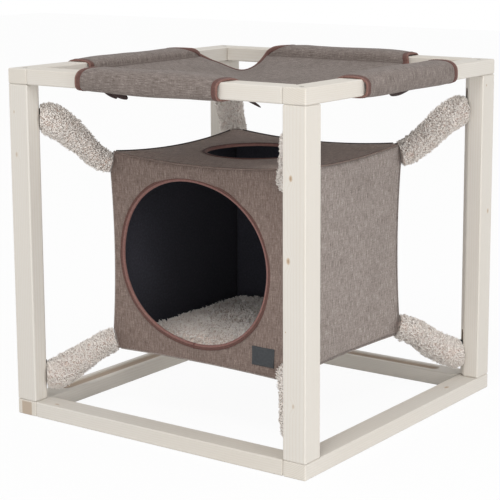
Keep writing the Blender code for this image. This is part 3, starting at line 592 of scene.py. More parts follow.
# %% Geometry Nodes helpers
class Growth:
    """A node group under construction, with a geometry input and output and other named inputs."""

    def __init__(self, name, inputs):
        self.group = bpy.data.node_groups.new(name, "GeometryNodeTree")
        for label, kind in (("Geometry", "Geometry"), *inputs.items()):
            self.group.interface.new_socket(label, in_out="INPUT", socket_type="NodeSocket" + kind)
        self.group.interface.new_socket("Geometry", in_out="OUTPUT", socket_type="NodeSocketGeometry")
        self.given = self.group.nodes.new("NodeGroupInput").outputs

    def node(self, kind, inputs=None, output=0, **settings):
        """Adds a node, sets it up, fills its sockets and returns one output."""
        made = self.group.nodes.new(kind)
        for name, value in settings.items():
            setattr(made, name, value)
        for key, value in (inputs or {}).items():
            if isinstance(value, bpy.types.NodeSocket):
                self.group.links.new(value, made.inputs[key])
            else:
                made.inputs[key].default_value = value
        return made.outputs[output]

    def maths(self, operation, first, second, kind="ShaderNodeMath"):
        return self.node(kind, {0: first, 1: second}, operation=operation)

    def vectors(self, operation, first, second):
        return self.maths(operation, first, second, "ShaderNodeVectorMath")

    def vector(self, **parts):
        return self.node("ShaderNodeCombineXYZ", parts)

    def chance(self, low, high, seed):
        """A random number for each point."""
        return self.node("FunctionNodeRandomValue", {2: low, 3: high, "Seed": seed}, 1, data_type="FLOAT")

    def original(self, label):
        """The shape of the object that a named input gives."""
        return self.node("GeometryNodeObjectInfo", {"Object": self.given[label]}, "Geometry")

    def copies(self, points, shape, **placing):
        return self.node("GeometryNodeInstanceOnPoints", {"Points": points, "Instance": shape, **placing})

    def realized(self, copies):
        return self.node("GeometryNodeRealizeInstances", {0: copies})

    def done(self, shape, finish):
        """Gives everything the finish that a named input gives, and sends it out."""
        painted = self.node("GeometryNodeSetMaterial", {"Geometry": shape, "Material": self.given[finish]})
        self.group.links.new(painted, self.group.nodes.new("NodeGroupOutput").inputs[0])


def evaluated_mesh(piece):
    """The mesh that the piece's modifiers make, on its own."""
    graph = bpy.context.evaluated_depsgraph_get()
    return bpy.data.meshes.new_from_object(piece.evaluated_get(graph), preserve_all_data_layers=True,
                                           depsgraph=graph)


def grown(piece, growth, values):
    """Runs the tree on the piece with these inputs and keeps the plain mesh that comes out."""
    modifier = piece.modifiers.new("grown", "NODES")
    modifier.node_group = growth.group
    for item in growth.group.interface.items_tree:
        if item.item_type == "SOCKET" and item.in_out == "INPUT" and item.name in values:
            modifier[item.identifier] = values[item.name]
    piece.update_tag()
    bpy.context.view_layer.update()
    mesh = evaluated_mesh(piece)
    piece.modifiers.clear()
    piece.data = mesh
    return piece


def hidden_original(name, points, faces, attributes=None):
    """A small shape that Geometry Nodes copy. It is removed once the copies are real."""
    mesh = mesh_of(name, points, faces)
    for label, values in (attributes or {}).items():
        mesh.attributes.new(label, "FLOAT", "POINT").data.foreach_set("value", values)
    mesh.shade_smooth()
    return put(name, mesh)


# %% One screw
SCREW_HEAD, SCREW_SHANK, SCREW_LENGTH = 0.0045, 0.00225, 0.070
SCREW_SINK = 0.0004


def screw_points(steps=32):
    """A countersunk head with a cross recess, a neck, a shank and a point, ring by ring."""
    rings = [(r * SCREW_HEAD, 0.0) for r in (0.08, 0.17, 0.26, 0.35, 0.44, 0.53, 0.62, 0.72, 0.88, 0.97)]
    rings += [(SCREW_HEAD, -0.0003), (SCREW_SHANK, -0.0029), (SCREW_SHANK, -SCREW_LENGTH + 0.008),
              (0.0004, -SCREW_LENGTH)]
    points = [Vector((0, 0, -0.0016))]
    for radius, height in rings:
        for angle in turns(steps):
            x, y = radius * math.cos(angle), radius * math.sin(angle)
            pit = 0.0
            if height == 0.0:
                slot = 1 - smooth_step((min(abs(x), abs(y)) - 0.0004) / 0.0003)
                pit = slot * 0.0016 * (1 - smooth_step((radius - 0.0008) / 0.0022))
            points.append(Vector((x, y, height - pit)))
    faces = [(0, 1 + k, 1 + (k + 1) % steps) for k in range(steps)]
    faces += [(a, d, c, b) for a, b, c, d in quads(len(rings), steps, 1, wrap=True)]
    last = 1 + (len(rings) - 1) * steps
    faces.append(tuple(last + k for k in range(steps - 1, -1, -1)))
    return points, faces


screw_tree = Growth("screws_on_points", {"Screw": "Object", "Turn seed": "Int", "Steel": "Material"})
flip = screw_tree.node("GeometryNodeInputNamedAttribute", {"Name": "flip"}, data_type="FLOAT")
turned = screw_tree.vector(X=flip, Z=screw_tree.chance(0.0, 1.5, screw_tree.given["Turn seed"]))
copies = screw_tree.copies(screw_tree.given["Geometry"], screw_tree.original("Screw"), Rotation=turned)
screw_tree.done(screw_tree.realized(copies), "Steel")

screw = hidden_original("screw_original", *screw_points())
spots, flips = [], []
for height, angle in ((FRAME_HEIGHT - SCREW_SINK, 0.0), (SCREW_SINK, math.pi)):
    for sx, sy in CORNERS.values():
        spots.append((sx * RAIL_MIDDLE, sy * RAIL_MIDDLE, height))
        flips.append(angle)
screws = build("frame_screws", spots, [], [STEEL], None)
screws.data.attributes.new("flip", "FLOAT", "POINT").data.foreach_set("value", flips)
grown(screws, screw_tree, {"Screw": screw, "Turn seed": 4, "Steel": STEEL})
bpy.data.objects.remove(screw)
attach(screws, "frame")
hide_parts(*[level + "_screw_" + corner for level in ("top", "bottom") for corner in CORNERS])
print("screws:", len(spots), "with", len(screws.data.polygons), "faces")

# %% [markdown]
# ## Webbing toggles
#
# Each leg ends in a short piece of black webbing. It lies on the post's flat, narrows to a neck and
# holds a round toggle inside the routed slot. Seen from above it is one outline, so it is swept
# upwards as a ribbon, with a little unevenness where the webbing is folded.

# %% Webbing toggles
STRAP_MIDDLES = {"lower": 0.074, "upper": 0.513}
STRAP_HEIGHT, STRAP_STEPS = 0.035, 18


def toggle_section():
    """The toggle's outline from above: (across, outward) points."""
    bulb, neck, plate = 0.0036, 0.0018, 0.0058
    centre = SLOT_DEPTH - CLEAR - bulb
    start = -math.acos(neck / bulb)
    right = [(plate, -0.0016), (plate + 0.0002, -0.0010), (plate, -0.0004), (neck, -0.0004)]
    for i in range(9):
        angle = start + (math.pi / 2 - start) * i / 8
        right.append((bulb * math.cos(angle), centre + bulb * math.sin(angle)))
    return right + [(-x, y) for x, y in reversed(right[:-1])]


for corner, (sx, sy) in CORNERS.items():
    away, across = corner_ways(sx, sy)
    for level, middle in STRAP_MIDDLES.items():
        path = []
        for i in range(STRAP_STEPS + 1):
            height = middle - STRAP_HEIGHT / 2 + STRAP_HEIGHT * i / STRAP_STEPS
            wobble = noise.noise(Vector((sx * 3, sy * 5, height * 120))) * 0.00012
            path.append((away * (SLOT_FACE + wobble) + Vector((0, 0, height)), across, away))
        toggle = ribbon(level + "_webbing_" + corner, path, toggle_section(), [WEBBING], "frame")
        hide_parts(level + "_strap_" + corner)
print("webbing toggles: 8")

# %% [markdown]
# ## The hanging cave: its shape
#
# The cave is a soft box whose eight corners are pulled outwards by the legs, so every edge bows in
# between them. One function gives any point of it: u, v and w run from -1 to 1 along X, Y and Z.

# %% Shape of the cave
CAVE_HALF, CAVE_PULL, CAVE_MIDDLE, CAVE_RISE = 0.177, 0.005, 0.278, 0.166
ROOF_LIFT, FLOOR_DROP, WALL = 0.011, 0.002, 0.004
ROOF_DOME = 0.0055
INNER = 1 - WALL / CAVE_HALF
CORNER_CUT, CORNER_SLOPE = 0.013, 0.37


def cave_point(u, v, w, scale=1.0):
    lift = (ROOF_LIFT + FLOOR_DROP) / 2 + w * (ROOF_LIFT - FLOOR_DROP) / 2
    x = u * (CAVE_HALF + CAVE_PULL * (v * w) ** 2)
    y = v * (CAVE_HALF + CAVE_PULL * (u * w) ** 2)
    z = w * (CAVE_RISE + lift * (u * v) ** 2) + ROOF_DOME * max(w, 0) * (1 - u * u) * (1 - v * v)
    return Vector((x * scale, y * scale, CAVE_MIDDLE + z * scale))


def corner_plane(sx, sy, sz):
    """Where a leg is sewn in: the middle of the cut corner, and the way the leg leaves it."""
    third = CORNER_CUT / 3
    middle = cave_point(sx, sy, sz) - Vector((sx * third, sy * third, sz * third / CORNER_SLOPE))
    return middle, Vector((sx, sy, sz * CORNER_SLOPE)).normalized()


def on_wall(name, first, second):
    """The wall's own two numbers and its point, where its two coordinates are first and second."""
    place, across, along = WALLS[name]
    a = first / CAVE_HALF
    b = (second - CAVE_MIDDLE) / CAVE_RISE if along == 2 else second / CAVE_HALF
    for _ in range(5):
        point = cave_point(*place(a, b))
        a += (first - point[across]) / CAVE_HALF
        b += (second - point[along]) / CAVE_HALF
    return a, b, cave_point(*place(a, b))


WALLS = {
    "front": (lambda a, b: (a, -1, b), 0, 2), "back": (lambda a, b: (a, 1, b), 0, 2),
    "left": (lambda a, b: (-1, a, b), 1, 2), "right": (lambda a, b: (1, a, b), 1, 2),
    "roof": (lambda a, b: (a, b, 1), 0, 1), "floor": (lambda a, b: (a, b, -1), 0, 1),
}
print("cave shape ready:", len(WALLS), "walls")

# %% [markdown]
# ## The two openings
#
# The entrance is a slightly squarish oval that leans a little, and the roof has a round hole. A
# function gives each outline's distance from its middle in any direction, so that the cloth's grid
# can run in rings from the hole out to the square edge of its wall.

# %% Outlines of the openings
ENTRANCE = {"long": 0.1568, "short": 0.1438, "power": 2.12, "tilt": math.radians(-10),
            "middle": (-0.0076, 0.2790)}
ROOF_HOLE = 0.0965
UNDER_BINDING = 0.0012       # how far the cloth reaches in under the binding


def entrance_reach(angle):
    """Distance from the entrance's middle to its cut edge, in a direction on the front wall."""
    turned = angle - ENTRANCE["tilt"]
    c, s = abs(math.cos(turned)) / ENTRANCE["long"], abs(math.sin(turned)) / ENTRANCE["short"]
    return (c ** ENTRANCE["power"] + s ** ENTRANCE["power"]) ** (-1 / ENTRANCE["power"])


def hole_rings(name, around, across):
    """Rows of wall coordinates from an opening's edge to the wall's square border."""
    place, first, second = WALLS[name]
    middle, reach = ENTRANCE["middle"], entrance_reach
    if name == "roof":
        middle, reach = (0, 0), lambda angle: ROOF_HOLE
    side = around // 4
    steps = [-1 + 2 * k / side for k in range(side)]
    border = [(t, -1.0) for t in steps] + [(1.0, t) for t in steps]
    border += [(-t, 1.0) for t in steps] + [(-1.0, -t) for t in steps]
    rows = [[] for _ in range(across + 1)]
    for a, b in border:
        edge = cave_point(*place(a, b))
        angle = math.atan2(edge[second] - middle[1], edge[first] - middle[0])
        near = reach(angle) - UNDER_BINDING
        near_x, near_y = middle[0] + near * math.cos(angle), middle[1] + near * math.sin(angle)
        near_a, near_b, _ = on_wall(name, near_x, near_y)
        for i, row in enumerate(rows):
            t = (i / across) ** 0.85
            row.append((near_a + (a - near_a) * t, near_b + (b - near_b) * t))
    return rows


print("entrance", round(2 * entrance_reach(0), 3), "m wide at its middle")

# %% [markdown]
# ## Cave walls
#
# A wall is two layers: heather canvas outside, dark lining inside. Both follow the same shape, and
# small folds are pressed into it: tension folds that fan out of each corner where the leg pulls, a
# crease or two along the hems, and a broad unevenness of the padding. The folds fade out at the
# edges, so neighbouring walls still meet.

# %% Cave walls
WALL_CELLS, HOLE_COLUMNS, HOLE_ROWS = 60, 240, 26
LINING_FOLDS = 0.6           # share of the canvas's folds that the lining follows


def folds(name, a, b, point):
    """How far the cloth stands out from the plain shape, in metres."""
    edge = (1 - abs(a) ** 10) * (1 - abs(b) ** 10)
    seed = Vector((len(name) * 3.1, ord(name[0]) * 0.7, 1.3))
    depth = noise.noise(point * 7.0 + seed) * 0.0022 + noise.noise(point * 21.0 + seed) * 0.0006
    strong = 2.4 if name == "roof" else 1.0
    for ca in (-1, 1):
        for cb in (-1, 1):
            da, db = (1 - a * ca) * CAVE_HALF, (1 - b * cb) * CAVE_HALF
            distance = math.hypot(da, db)
            angle = math.atan2(db, da)
            fan = math.cos(angle * 9 + ca * 1.3 + cb * 0.7 + len(name))
            fade = smooth_step((distance - 0.018) / 0.03) * math.exp(-max(distance - 0.04, 0.0) / 0.055)
            depth += strong * 0.0010 * fan * fade
    pillow = 0.0
    if name not in ("roof", "floor"):
        below = (1 - b) * CAVE_RISE / (0.0075 + 0.0020 * math.sin(a * 2.2 + 0.6))
        pillow = 0.0036 * below * math.exp(1 - below) * (1 - a ** 8)
    hem = 0.0
    for level, size in ((0.90, 0.0007), (-0.91, 0.0008)):
        away = (b - level - 0.012 * math.sin(a * 3 + len(name))) * CAVE_HALF
        hem += size * math.exp(-(away / 0.0035) ** 2)
    return pillow + (depth - hem * (0.5 + 0.5 * noise.noise(seed + Vector((a * 2, 0, 0))))) * edge


def cave_wall(name):
    place, first, second = WALLS[name]
    holed = name in ("front", "roof")
    if holed:
        grid = hole_rings(name, HOLE_COLUMNS, HOLE_ROWS)
    else:
        steps = [-1 + 2 * i / WALL_CELLS for i in range(WALL_CELLS + 1)]
        grid = [[(a, b) for b in steps] for a in steps]
    rows, columns = len(grid), len(grid[0])
    way = Vector(place(0, 0))
    points, flat = [], []
    for scale in (1.0, INNER):
        for row in grid:
            for a, b in row:
                point = cave_point(*place(a, b), scale)
                point += way * folds(name, a, b, point) * (1.0 if scale == 1 else LINING_FOLDS)
                points.append(point)
                flat.append((point[first], point[second]))
    outer, inner, rim = shell(rows, columns, holed)
    slots = [0] * len(outer) + [1] * len(inner) + [0] * len(rim)
    # Front wall: the darker copy of the canvas, painted shade. Roof: the lighter copy, painted light.
    canvas = {"front": FRONT_CANVAS_PAINTED_SHADE, "roof": ROOF_CANVAS_PAINTED_LIGHT}.get(name, CANVAS)
    piece = build("cave_" + name + "_cloth", points, outer + inner + rim, [canvas, LINING], None, flat, slots)
    trim_corners(piece, place)
    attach(piece, "cave")
    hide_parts("cave_" + name if name in ("roof", "floor") else "cave_wall_" + name)
    return piece


def trim_corners(piece, place):
    """Cuts off the four corners where legs are sewn in, and closes the cuts."""
    with edited(piece) as shape:
        bmesh.ops.recalc_face_normals(shape, faces=shape.faces)
        for a, b in ((-1, -1), (-1, 1), (1, -1), (1, 1)):
            point, normal = corner_plane(*place(a, b))
            geometry = shape.verts[:] + shape.edges[:] + shape.faces[:]
            result = bmesh.ops.bisect_plane(shape, geom=geometry, plane_co=point, plane_no=normal,
                                            clear_outer=True, dist=0.0000001)
            loop = [part for part in result["geom_cut"] if isinstance(part, bmesh.types.BMEdge)]
            bmesh.ops.edgeloop_fill(shape, edges=loop)


walls = {name: cave_wall(name) for name in WALLS}
print("cave walls:", {name: len(wall.data.polygons) for name, wall in walls.items()})

# %% [markdown]
# ## Welts and hems
#
# The cave's walls are sewn together with a narrow welt in each edge; round the roof the welts take darker
# colours, which are painted shade. Where a
# leg is sewn in, the corner of the cave is cut off, and the cloth's edge is rolled into a small hem.

# %% Welts
WELT_CELLS, UPRIGHT_WELT, FLOOR_WELT = 60, 0.0009, 0.0010


def oval(wide, high, steps=10):
    """The points of an oval section with these two radii."""
    return [(wide * math.cos(a), high * math.sin(a)) for a in turns(steps)]


def inside_cave_corners(point, margin):
    """True where a point is not cut off at a corner."""
    for sx, sy in CORNERS.values():
        for sz in (-1, 1):
            middle, normal = corner_plane(sx, sy, sz)
            if (point - middle).dot(normal) > -margin:
                return False
    return True


def framed(points, upright):
    """Adds a sideways and an upwards direction to each point of a line."""
    path = []
    for i, point in enumerate(points):
        along = (points[min(i + 1, len(points) - 1)] - points[max(i - 1, 0)]).normalized()
        side = along.cross(upright).normalized()
        path.append((point, side, side.cross(along)))
    return path


def welt(name, fixed, radius, material):
    """fixed gives the edge's two constant coordinates and None for the one that runs."""
    away = Vector(tuple(0.0 if value is None else value for value in fixed)).normalized()
    points = []
    for i in range(WELT_CELLS + 1):
        t = -1 + 2 * i / WELT_CELLS
        point = cave_point(*(t if value is None else value for value in fixed))
        if inside_cave_corners(point, 0.001):
            points.append(point + away * radius * 0.35)
    piece = ribbon(name, framed(points, away), oval(radius, radius), [material], "cave")
    return piece


for corner, (sx, sy) in CORNERS.items():
    welt("welt_upright_" + corner, (sx, sy, None), UPRIGHT_WELT, CANVAS)
# The welts between the roof and the back and left walls are thinner, and their dark colour is painted shade;
# those at the front and right take the darker front canvas, also painted shade.
ROOF_WELTS = {"front": (0.0016, FRONT_CANVAS_PAINTED_SHADE), "back": (0.0014, WELT_PAINTED_SHADE), "left": (0.0014, WELT_PAINTED_SHADE),
              "right": (0.0016, FRONT_CANVAS_PAINTED_SHADE)}
for side, fixed in (("front", (None, -1)), ("back", (None, 1)), ("left", (-1, None)), ("right", (1, None))):
    welt("welt_roof_" + side, (*fixed, 1), *ROOF_WELTS[side])
    welt("welt_floor_" + side, (*fixed, -1), FLOOR_WELT, CANVAS)
print("welts: 12")

# %% Hems at the cut corners
HEM_CELLS, HEM_RADIUS, HEM_PROUD = 24, 0.0013, 0.0004


def hem(corner, sz):
    """The cut corner is a tall triangle. Its rim is rolled under round the root of the leg."""
    sx, sy = CORNERS[corner]
    level, upright = 1 - CORNER_CUT / CAVE_HALF, 1 - CORNER_CUT / CORNER_SLOPE / CAVE_RISE
    tips = [cave_point(sx * level, sy, sz), cave_point(sx, sy * level, sz), cave_point(sx, sy, sz * upright)]
    middle, normal = corner_plane(sx, sy, sz)
    path = []
    for a, b in zip(tips, tips[1:] + tips[:1]):
        for k in range(HEM_CELLS):
            t = (k + 0.5) / HEM_CELLS
            point = a.lerp(b, t)
            point += (middle - point) * 0.10 * (2 * t - 1) ** 6
            out = (point - middle - normal * (point - middle).dot(normal)).normalized()
            path.append((point + normal * HEM_PROUD, out, normal))
    piece = ribbon("hem_" + ("upper_" if sz > 0 else "lower_") + corner, path,
                   oval(HEM_RADIUS, HEM_RADIUS * 1.2, 8), [CANVAS], "cave", closed=True)
    return piece


hems = [hem(corner, sz) for corner in CORNERS for sz in (-1, 1)]
print("hems:", len(hems))

# %% [markdown]
# ## Bound openings
#
# A springy hoop is sewn into the edge of each opening, inside a folded red-brown binding. The hoop
# makes a round bead along the hole, and the binding's flange lies flat on the cloth outside it.

# %% Bindings of the openings
def bead_section():
    """(inwards from the cut edge, out of the wall): a flange on the cloth, then the bead."""
    bead, centre = 0.0027, 0.0054
    front = [(-0.0008, 0.0018), (-0.0005, 0.0026), (0.0005, 0.0028), (0.0017, 0.0026), (0.0026, 0.0020)]
    for i in range(9):
        angle = math.radians(138 - 138 * i / 8)
        front.append((centre + bead * math.cos(angle), bead * math.sin(angle)))
    return front + [(x, -y) for x, y in reversed(front[:-1])]


# The bead takes the lighter copy of the binding, a painted highlight; the flange takes the plain binding.
BEAD_SLOTS = [0] * 6 + [1] * 14 + [0] * 7


def opening_binding(name, path, node):
    piece = ribbon(name, path, bead_section(), [TAPE, BEAD_PAINTED_HIGHLIGHT], "cave", closed=True, slots=BEAD_SLOTS)
    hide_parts(node)
    return piece


def entrance_path(steps):
    """Places along the entrance's cut edge: a point, the way in to its middle and the way out of the wall."""
    flat = []
    for angle in turns(steps):
        reach, (x, z) = entrance_reach(angle), ENTRANCE["middle"]
        flat.append((x + reach * math.cos(angle), z + reach * math.sin(angle)))
    path = []
    for i, (x, z) in enumerate(flat):
        before, after = flat[i - 1], flat[(i + 1) % steps]
        along = Vector((after[0] - before[0], 0, after[1] - before[1])).normalized()
        point = on_wall("front", x, z)[2] + Vector((0, WALL / 2, 0))
        path.append((point, Vector((-along.z, 0, along.x)), Vector((0, -1, 0))))
    return path


def roof_hole_path(steps):
    path = []
    for angle in turns(steps):
        way = Vector((math.cos(angle), math.sin(angle), 0))
        point = on_wall("roof", ROOF_HOLE * way.x, ROOF_HOLE * way.y)[2] - Vector((0, 0, WALL / 2))
        path.append((point, -way, Vector((0, 0, 1))))
    return path


def join_wrap(name, index, path):
    """Where the binding's two ends meet: a short fold over the bead."""
    section = [(0.0036 + (x - 0.0036) * 1.07, y * 1.12) for x, y in bead_section()]
    middle, inwards, upright = path[index]
    fold = [(path[(index + k) % len(path)][0].lerp(middle, 0.72), inwards, upright) for k in (-1, 0, 1)]
    piece = ribbon(name, fold, section, [THREAD_RED], "cave")
    return piece


ENTRANCE_STEPS, ROOF_STEPS = 200, 160
entrance_edge, roof_edge = entrance_path(ENTRANCE_STEPS), roof_hole_path(ROOF_STEPS)
opening_binding("entrance_binding", entrance_edge, "entrance_rim")
opening_binding("roof_binding", roof_edge, "roof_rim")
join_wrap("entrance_binding_join", 3 * ENTRANCE_STEPS // 4, entrance_edge)
join_wrap("roof_binding_join", 30, roof_edge)
print("bindings of the openings: 2, with their joins")

# %% [markdown]
# ## Stitches
#
# A row of stitches follows a line on the cloth at an even pitch, so Geometry Nodes make them: the
# line becomes a curve, the curve is resampled at the pitch, and a small lens-shaped stitch is laid
# along it at each point. The sizes are the tree's named inputs.

# %% Stitch tree
stitch_tree = Growth("stitches_on_a_line", {"Pitch": "Float", "Stitch length": "Float", "Thread": "Float",
                                            "Finish": "Material"})
given = stitch_tree.given
line = stitch_tree.node("GeometryNodeMeshToCurve", {"Mesh": given["Geometry"]})
even = stitch_tree.node("GeometryNodeResampleCurve", {"Curve": line, "Length": given["Pitch"]}, mode="LENGTH")
along = stitch_tree.node("GeometryNodeInputTangent")
aligned = stitch_tree.node("FunctionNodeAlignRotationToVector", {"Vector": along}, axis="X")
bead = stitch_tree.node("GeometryNodeMeshUVSphere", {"Segments": 6, "Rings": 4, "Radius": 0.5})
sizes = stitch_tree.vector(X=given["Stitch length"], Y=given["Thread"], Z=given["Thread"])
copies = stitch_tree.copies(even, bead, Rotation=aligned, Scale=sizes)
stitch_tree.done(stitch_tree.realized(copies), "Finish")


def stitches(name, lines, pitch, length, thread, material, body):
    """One row or several, each a list of points on the cloth."""
    points, edges = [], []
    for row in lines:
        edges += [(len(points) + i, len(points) + i + 1) for i in range(len(row) - 1)]
        points += row
    piece = put(name, mesh_of(name, points, [], edges))
    grown(piece, stitch_tree, {"Pitch": pitch, "Stitch length": length, "Thread": thread, "Finish": material})
    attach(piece, body)
    print(name, len(piece.data.polygons), "faces")


def flange_row(path):
    """A closed line that runs on the flange of a binding."""
    row = [point + inwards * 0.0008 + upright * 0.0030 for point, inwards, upright in path]
    return row + row[:1]


stitches("opening_stitches", [flange_row(entrance_edge), flange_row(roof_edge)],
         0.0034, 0.0026, 0.0006, THREAD_RED, "cave")

# %% [markdown]
# ## Blank label
#
# A small woven patch is sewn low on the front wall, near the corner. It is left bare. Its edges are
# folded under, so it is a little thicker along the rim, and one row of stitches runs round it.

# %% Label
LABEL_MIDDLE, LABEL_SIZE = (0.1365, 0.1420), (0.045, 0.031)
LABEL_COLUMNS, LABEL_ROWS = 46, 32
LABEL_FOLD = 0.0035          # how wide its edge is folded under
LABEL_SEAM = 0.0040          # how much smaller than the label its ring of stitches is


def front_surface(x, z, off):
    """The front wall's outer face at x and z, moved out by off."""
    a, b, point = on_wall("front", x, z)
    return point + Vector((0, -1, 0)) * (folds("front", a, b, point) + off)


def label_patch():
    points, flat = [], []
    for layer in (1, 0):
        for i in range(LABEL_COLUMNS):
            for j in range(LABEL_ROWS):
                s, t = i / (LABEL_COLUMNS - 1), j / (LABEL_ROWS - 1)
                edge = min(min(s, 1 - s) * LABEL_SIZE[0], min(t, 1 - t) * LABEL_SIZE[1])
                fold = 0.00035 * (1 - smooth_step((edge - LABEL_FOLD) / 0.0012))
                curl = 0.0004 * noise.noise(Vector((s * 3, t * 3, 5.0)))
                roll = -0.0005 * (1 - smooth_step(edge / 0.0006))
                off = 0.0004 + (0.0011 + fold + curl + roll) * layer
                x = LABEL_MIDDLE[0] + LABEL_SIZE[0] * (s - 0.5)
                z = LABEL_MIDDLE[1] + LABEL_SIZE[1] * (t - 0.5)
                points.append(front_surface(x, z, off))
                flat.append((x, z))
    faces = sum(shell(LABEL_COLUMNS, LABEL_ROWS), [])
    piece = outward(build("label_patch", points, faces, [LABEL_CLOTH], "cave", flat))
    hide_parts("blank_label")
    return piece


label_patch()
rim = []
for s, t in ((0, 0), (1, 0), (1, 1), (0, 1), (0, 0)):
    x = LABEL_MIDDLE[0] + (LABEL_SIZE[0] - LABEL_SEAM) * (s - 0.5)
    z = LABEL_MIDDLE[1] + (LABEL_SIZE[1] - LABEL_SEAM) * (t - 0.5)
    if rim:
        last_x, last_z = rim[-1]
        rim += [(last_x + (x - last_x) * k / 8, last_z + (z - last_z) * k / 8) for k in range(1, 9)]
    else:
        rim.append((x, z))
stitches("label_stitches", [[front_surface(x, z, 0.0017) for x, z in rim]], 0.0021, 0.0016, 0.00042,
         THREAD, "cave")
print("label patch", LABEL_SIZE)

# %% [markdown]
# ## Stuffing with a cloth simulation
#
# The cushion is a flat bag filled with wadding. A cloth simulation with air pressure inside blows
# up a slightly small bag, its seams stay short, and the crown and drawn-in sides come out as they do
# on a real one. How far a point may move is capped, so that the cushion keeps to its place.

# %% Cloth simulation helper
def swollen(piece, pressure, cap, frames=20):
    """Blows the closed mesh up as cloth, caps the movement and keeps the result."""
    before = np.array([v.co for v in piece.data.vertices])
    cloth = piece.modifiers.new("stuffing", "CLOTH")
    for name, value in (("use_pressure", True), ("uniform_pressure_force", pressure), ("quality", 6),
                        ("tension_stiffness", 12), ("compression_stiffness", 12), ("bending_stiffness", 0.4)):
        setattr(cloth.settings, name, value)
    cloth.settings.effector_weights.gravity = 0.0
    cloth.point_cache.frame_start = 1
    cloth.point_cache.frame_end = frames
    for number in range(1, frames + 1):
        bpy.context.scene.frame_set(number)
    mesh = evaluated_mesh(piece)
    piece.modifiers.clear()
    moved = np.array([v.co for v in mesh.vertices]) - before
    far = np.linalg.norm(moved, axis=1, keepdims=True)
    after = before + moved * np.minimum(1.0, cap / np.maximum(far, 1e-9))
    mesh.vertices.foreach_set("co", after.ravel())
    piece.data = mesh
    bpy.context.scene.frame_set(1)
    mesh.shade_smooth()
    print(piece.name, "swelled by up to", round(float(far.max()) * 1000, 1), "mm before the cap")


# %% Cushion
CUSHION_HALF, CUSHION_SEAM, CUSHION_CROWN = 0.1640, 0.012, 0.0085
CUSHION_FOOT = CAVE_MIDDLE - CAVE_RISE * INNER + 0.0012
CUSHION_PRESSURE, CUSHION_CAP = 2.5, 0.006


def cushion_bag(cells=63):
    """The unfilled bag: a low box with drawn-in sides and rounded corners."""
    steps = [-1 + 2 * i / (cells - 1) for i in range(cells)]
    points = []
    for layer in (1, 0):
        for a in steps:
            for b in steps:
                ease = 1 - 0.045 * (a * b) ** 4
                x = a * (CUSHION_HALF - 0.004 * (1 - b ** 2)) * ease
                y = b * (CUSHION_HALF - 0.004 * (1 - a ** 2)) * ease
                crown = ((1 - a ** 4) * (1 - b ** 4)) ** 0.5
                lumps = 0.0016 * noise.noise(Vector((a * 2.6, b * 2.6, 7.0))) * crown
                high = CUSHION_SEAM + CUSHION_CROWN * crown + lumps
                low = CUSHION_SEAM * (1 - crown ** 0.25)
                points.append((x, y, CUSHION_FOOT + (high if layer else min(low, CUSHION_SEAM - 0.0004))))
    return outward(build("cushion_pad", points, sum(shell(cells, cells), []), [CUSHION_PLUSH], None))


cushion = cushion_bag()
swollen(cushion, CUSHION_PRESSURE, CUSHION_CAP)
for vertex in cushion.data.vertices:
    vertex.co.z = max(vertex.co.z, CUSHION_FOOT)
print("cushion bag", len(cushion.data.vertices), "points")

# %% [markdown]
# ## Pile
#
# Long plush is thousands of curled locks. Geometry Nodes scatter points over the stuffed body and
# put one short tapered lock on each. Neighbouring locks lean the same way, because the lean comes
# from a noise pattern, and that is what makes real pile look clumped rather than like a brush.

# %% A lock of pile
def lock_shape(name, width):
    """A three-sided lock, about 1 long, that rises, bends over and curls back down at its tip."""
    points, up = [], []
    # Each ring: its middle, its share of the width, how far it has turned over and how far up it is.
    rings = ((0.0, 0.0, 0.0, 0.9, 0.0, 0.0), (0.06, 0.0, 0.45, 1.1, 8.0, 0.45),
             (0.32, 0.06, 0.82, 1.0, 50.0, 0.9), (0.66, 0.14, 0.80, 0.75, 110.0, 0.85))
    for x, y, z, share, turn, height in rings:
        lean = math.radians(turn)
        for angle in turns(3):
            c, s = share * width * math.cos(angle), share * width * math.sin(angle)
            points.append((x + c * math.cos(lean), y + s, z - c * math.sin(lean)))
            up.append(height)
    points.append((0.80, 0.20, 0.55))
    up.append(0.6)
    faces = quads(len(rings), 3, wrap=True) + [(9, 10, 12), (10, 11, 12), (11, 9, 12)]
    return hidden_original(name, points, faces, {"up": up})


# %% Pile tree
pile_tree = Growth("pile_on_a_body", {
    "Lock": "Object", "Locks per square metre": "Float", "Length": "Float", "Clump size": "Float",
    "Lean": "Float", "Swirl": "Float", "Seed": "Int", "Finish": "Material"})
given = pile_tree.given
seed = given["Seed"]
spots = pile_tree.node("GeometryNodeDistributePointsOnFaces",
                       {"Mesh": given["Geometry"], "Density": given["Locks per square metre"], "Seed": seed},
                       "Points", distribute_method="RANDOM")
across_face = spots.node.outputs["Rotation"]
# Neighbours share a lean, which a noise pattern gives, and each lock strays from it and spins a little.
scale = pile_tree.maths("DIVIDE", 1.0, given["Clump size"])
where = pile_tree.node("GeometryNodeInputPosition")
clump = pile_tree.node("ShaderNodeTexNoise", {"Vector": where, "Scale": scale, "Detail": 1.5}, "Color")
centred = pile_tree.vectors("SUBTRACT", clump, (0.5, 0.5, 0.5))
lean = pile_tree.node("ShaderNodeVectorMath", {0: centred, "Scale": given["Lean"]}, operation="SCALE")
stray = pile_tree.node("FunctionNodeRandomValue",
                       {0: (-0.45, -0.45, 0.0), 1: (0.45, 0.45, 0.0), "Seed": seed},
                       data_type="FLOAT_VECTOR")
spin = pile_tree.vector(Z=pile_tree.maths("MULTIPLY", pile_tree.chance(-1.0, 1.0, seed), given["Swirl"]))
tilt = pile_tree.vectors("ADD", pile_tree.vectors("ADD", lean, stray), spin)
turned = pile_tree.node("FunctionNodeEulerToRotation", {0: tilt})
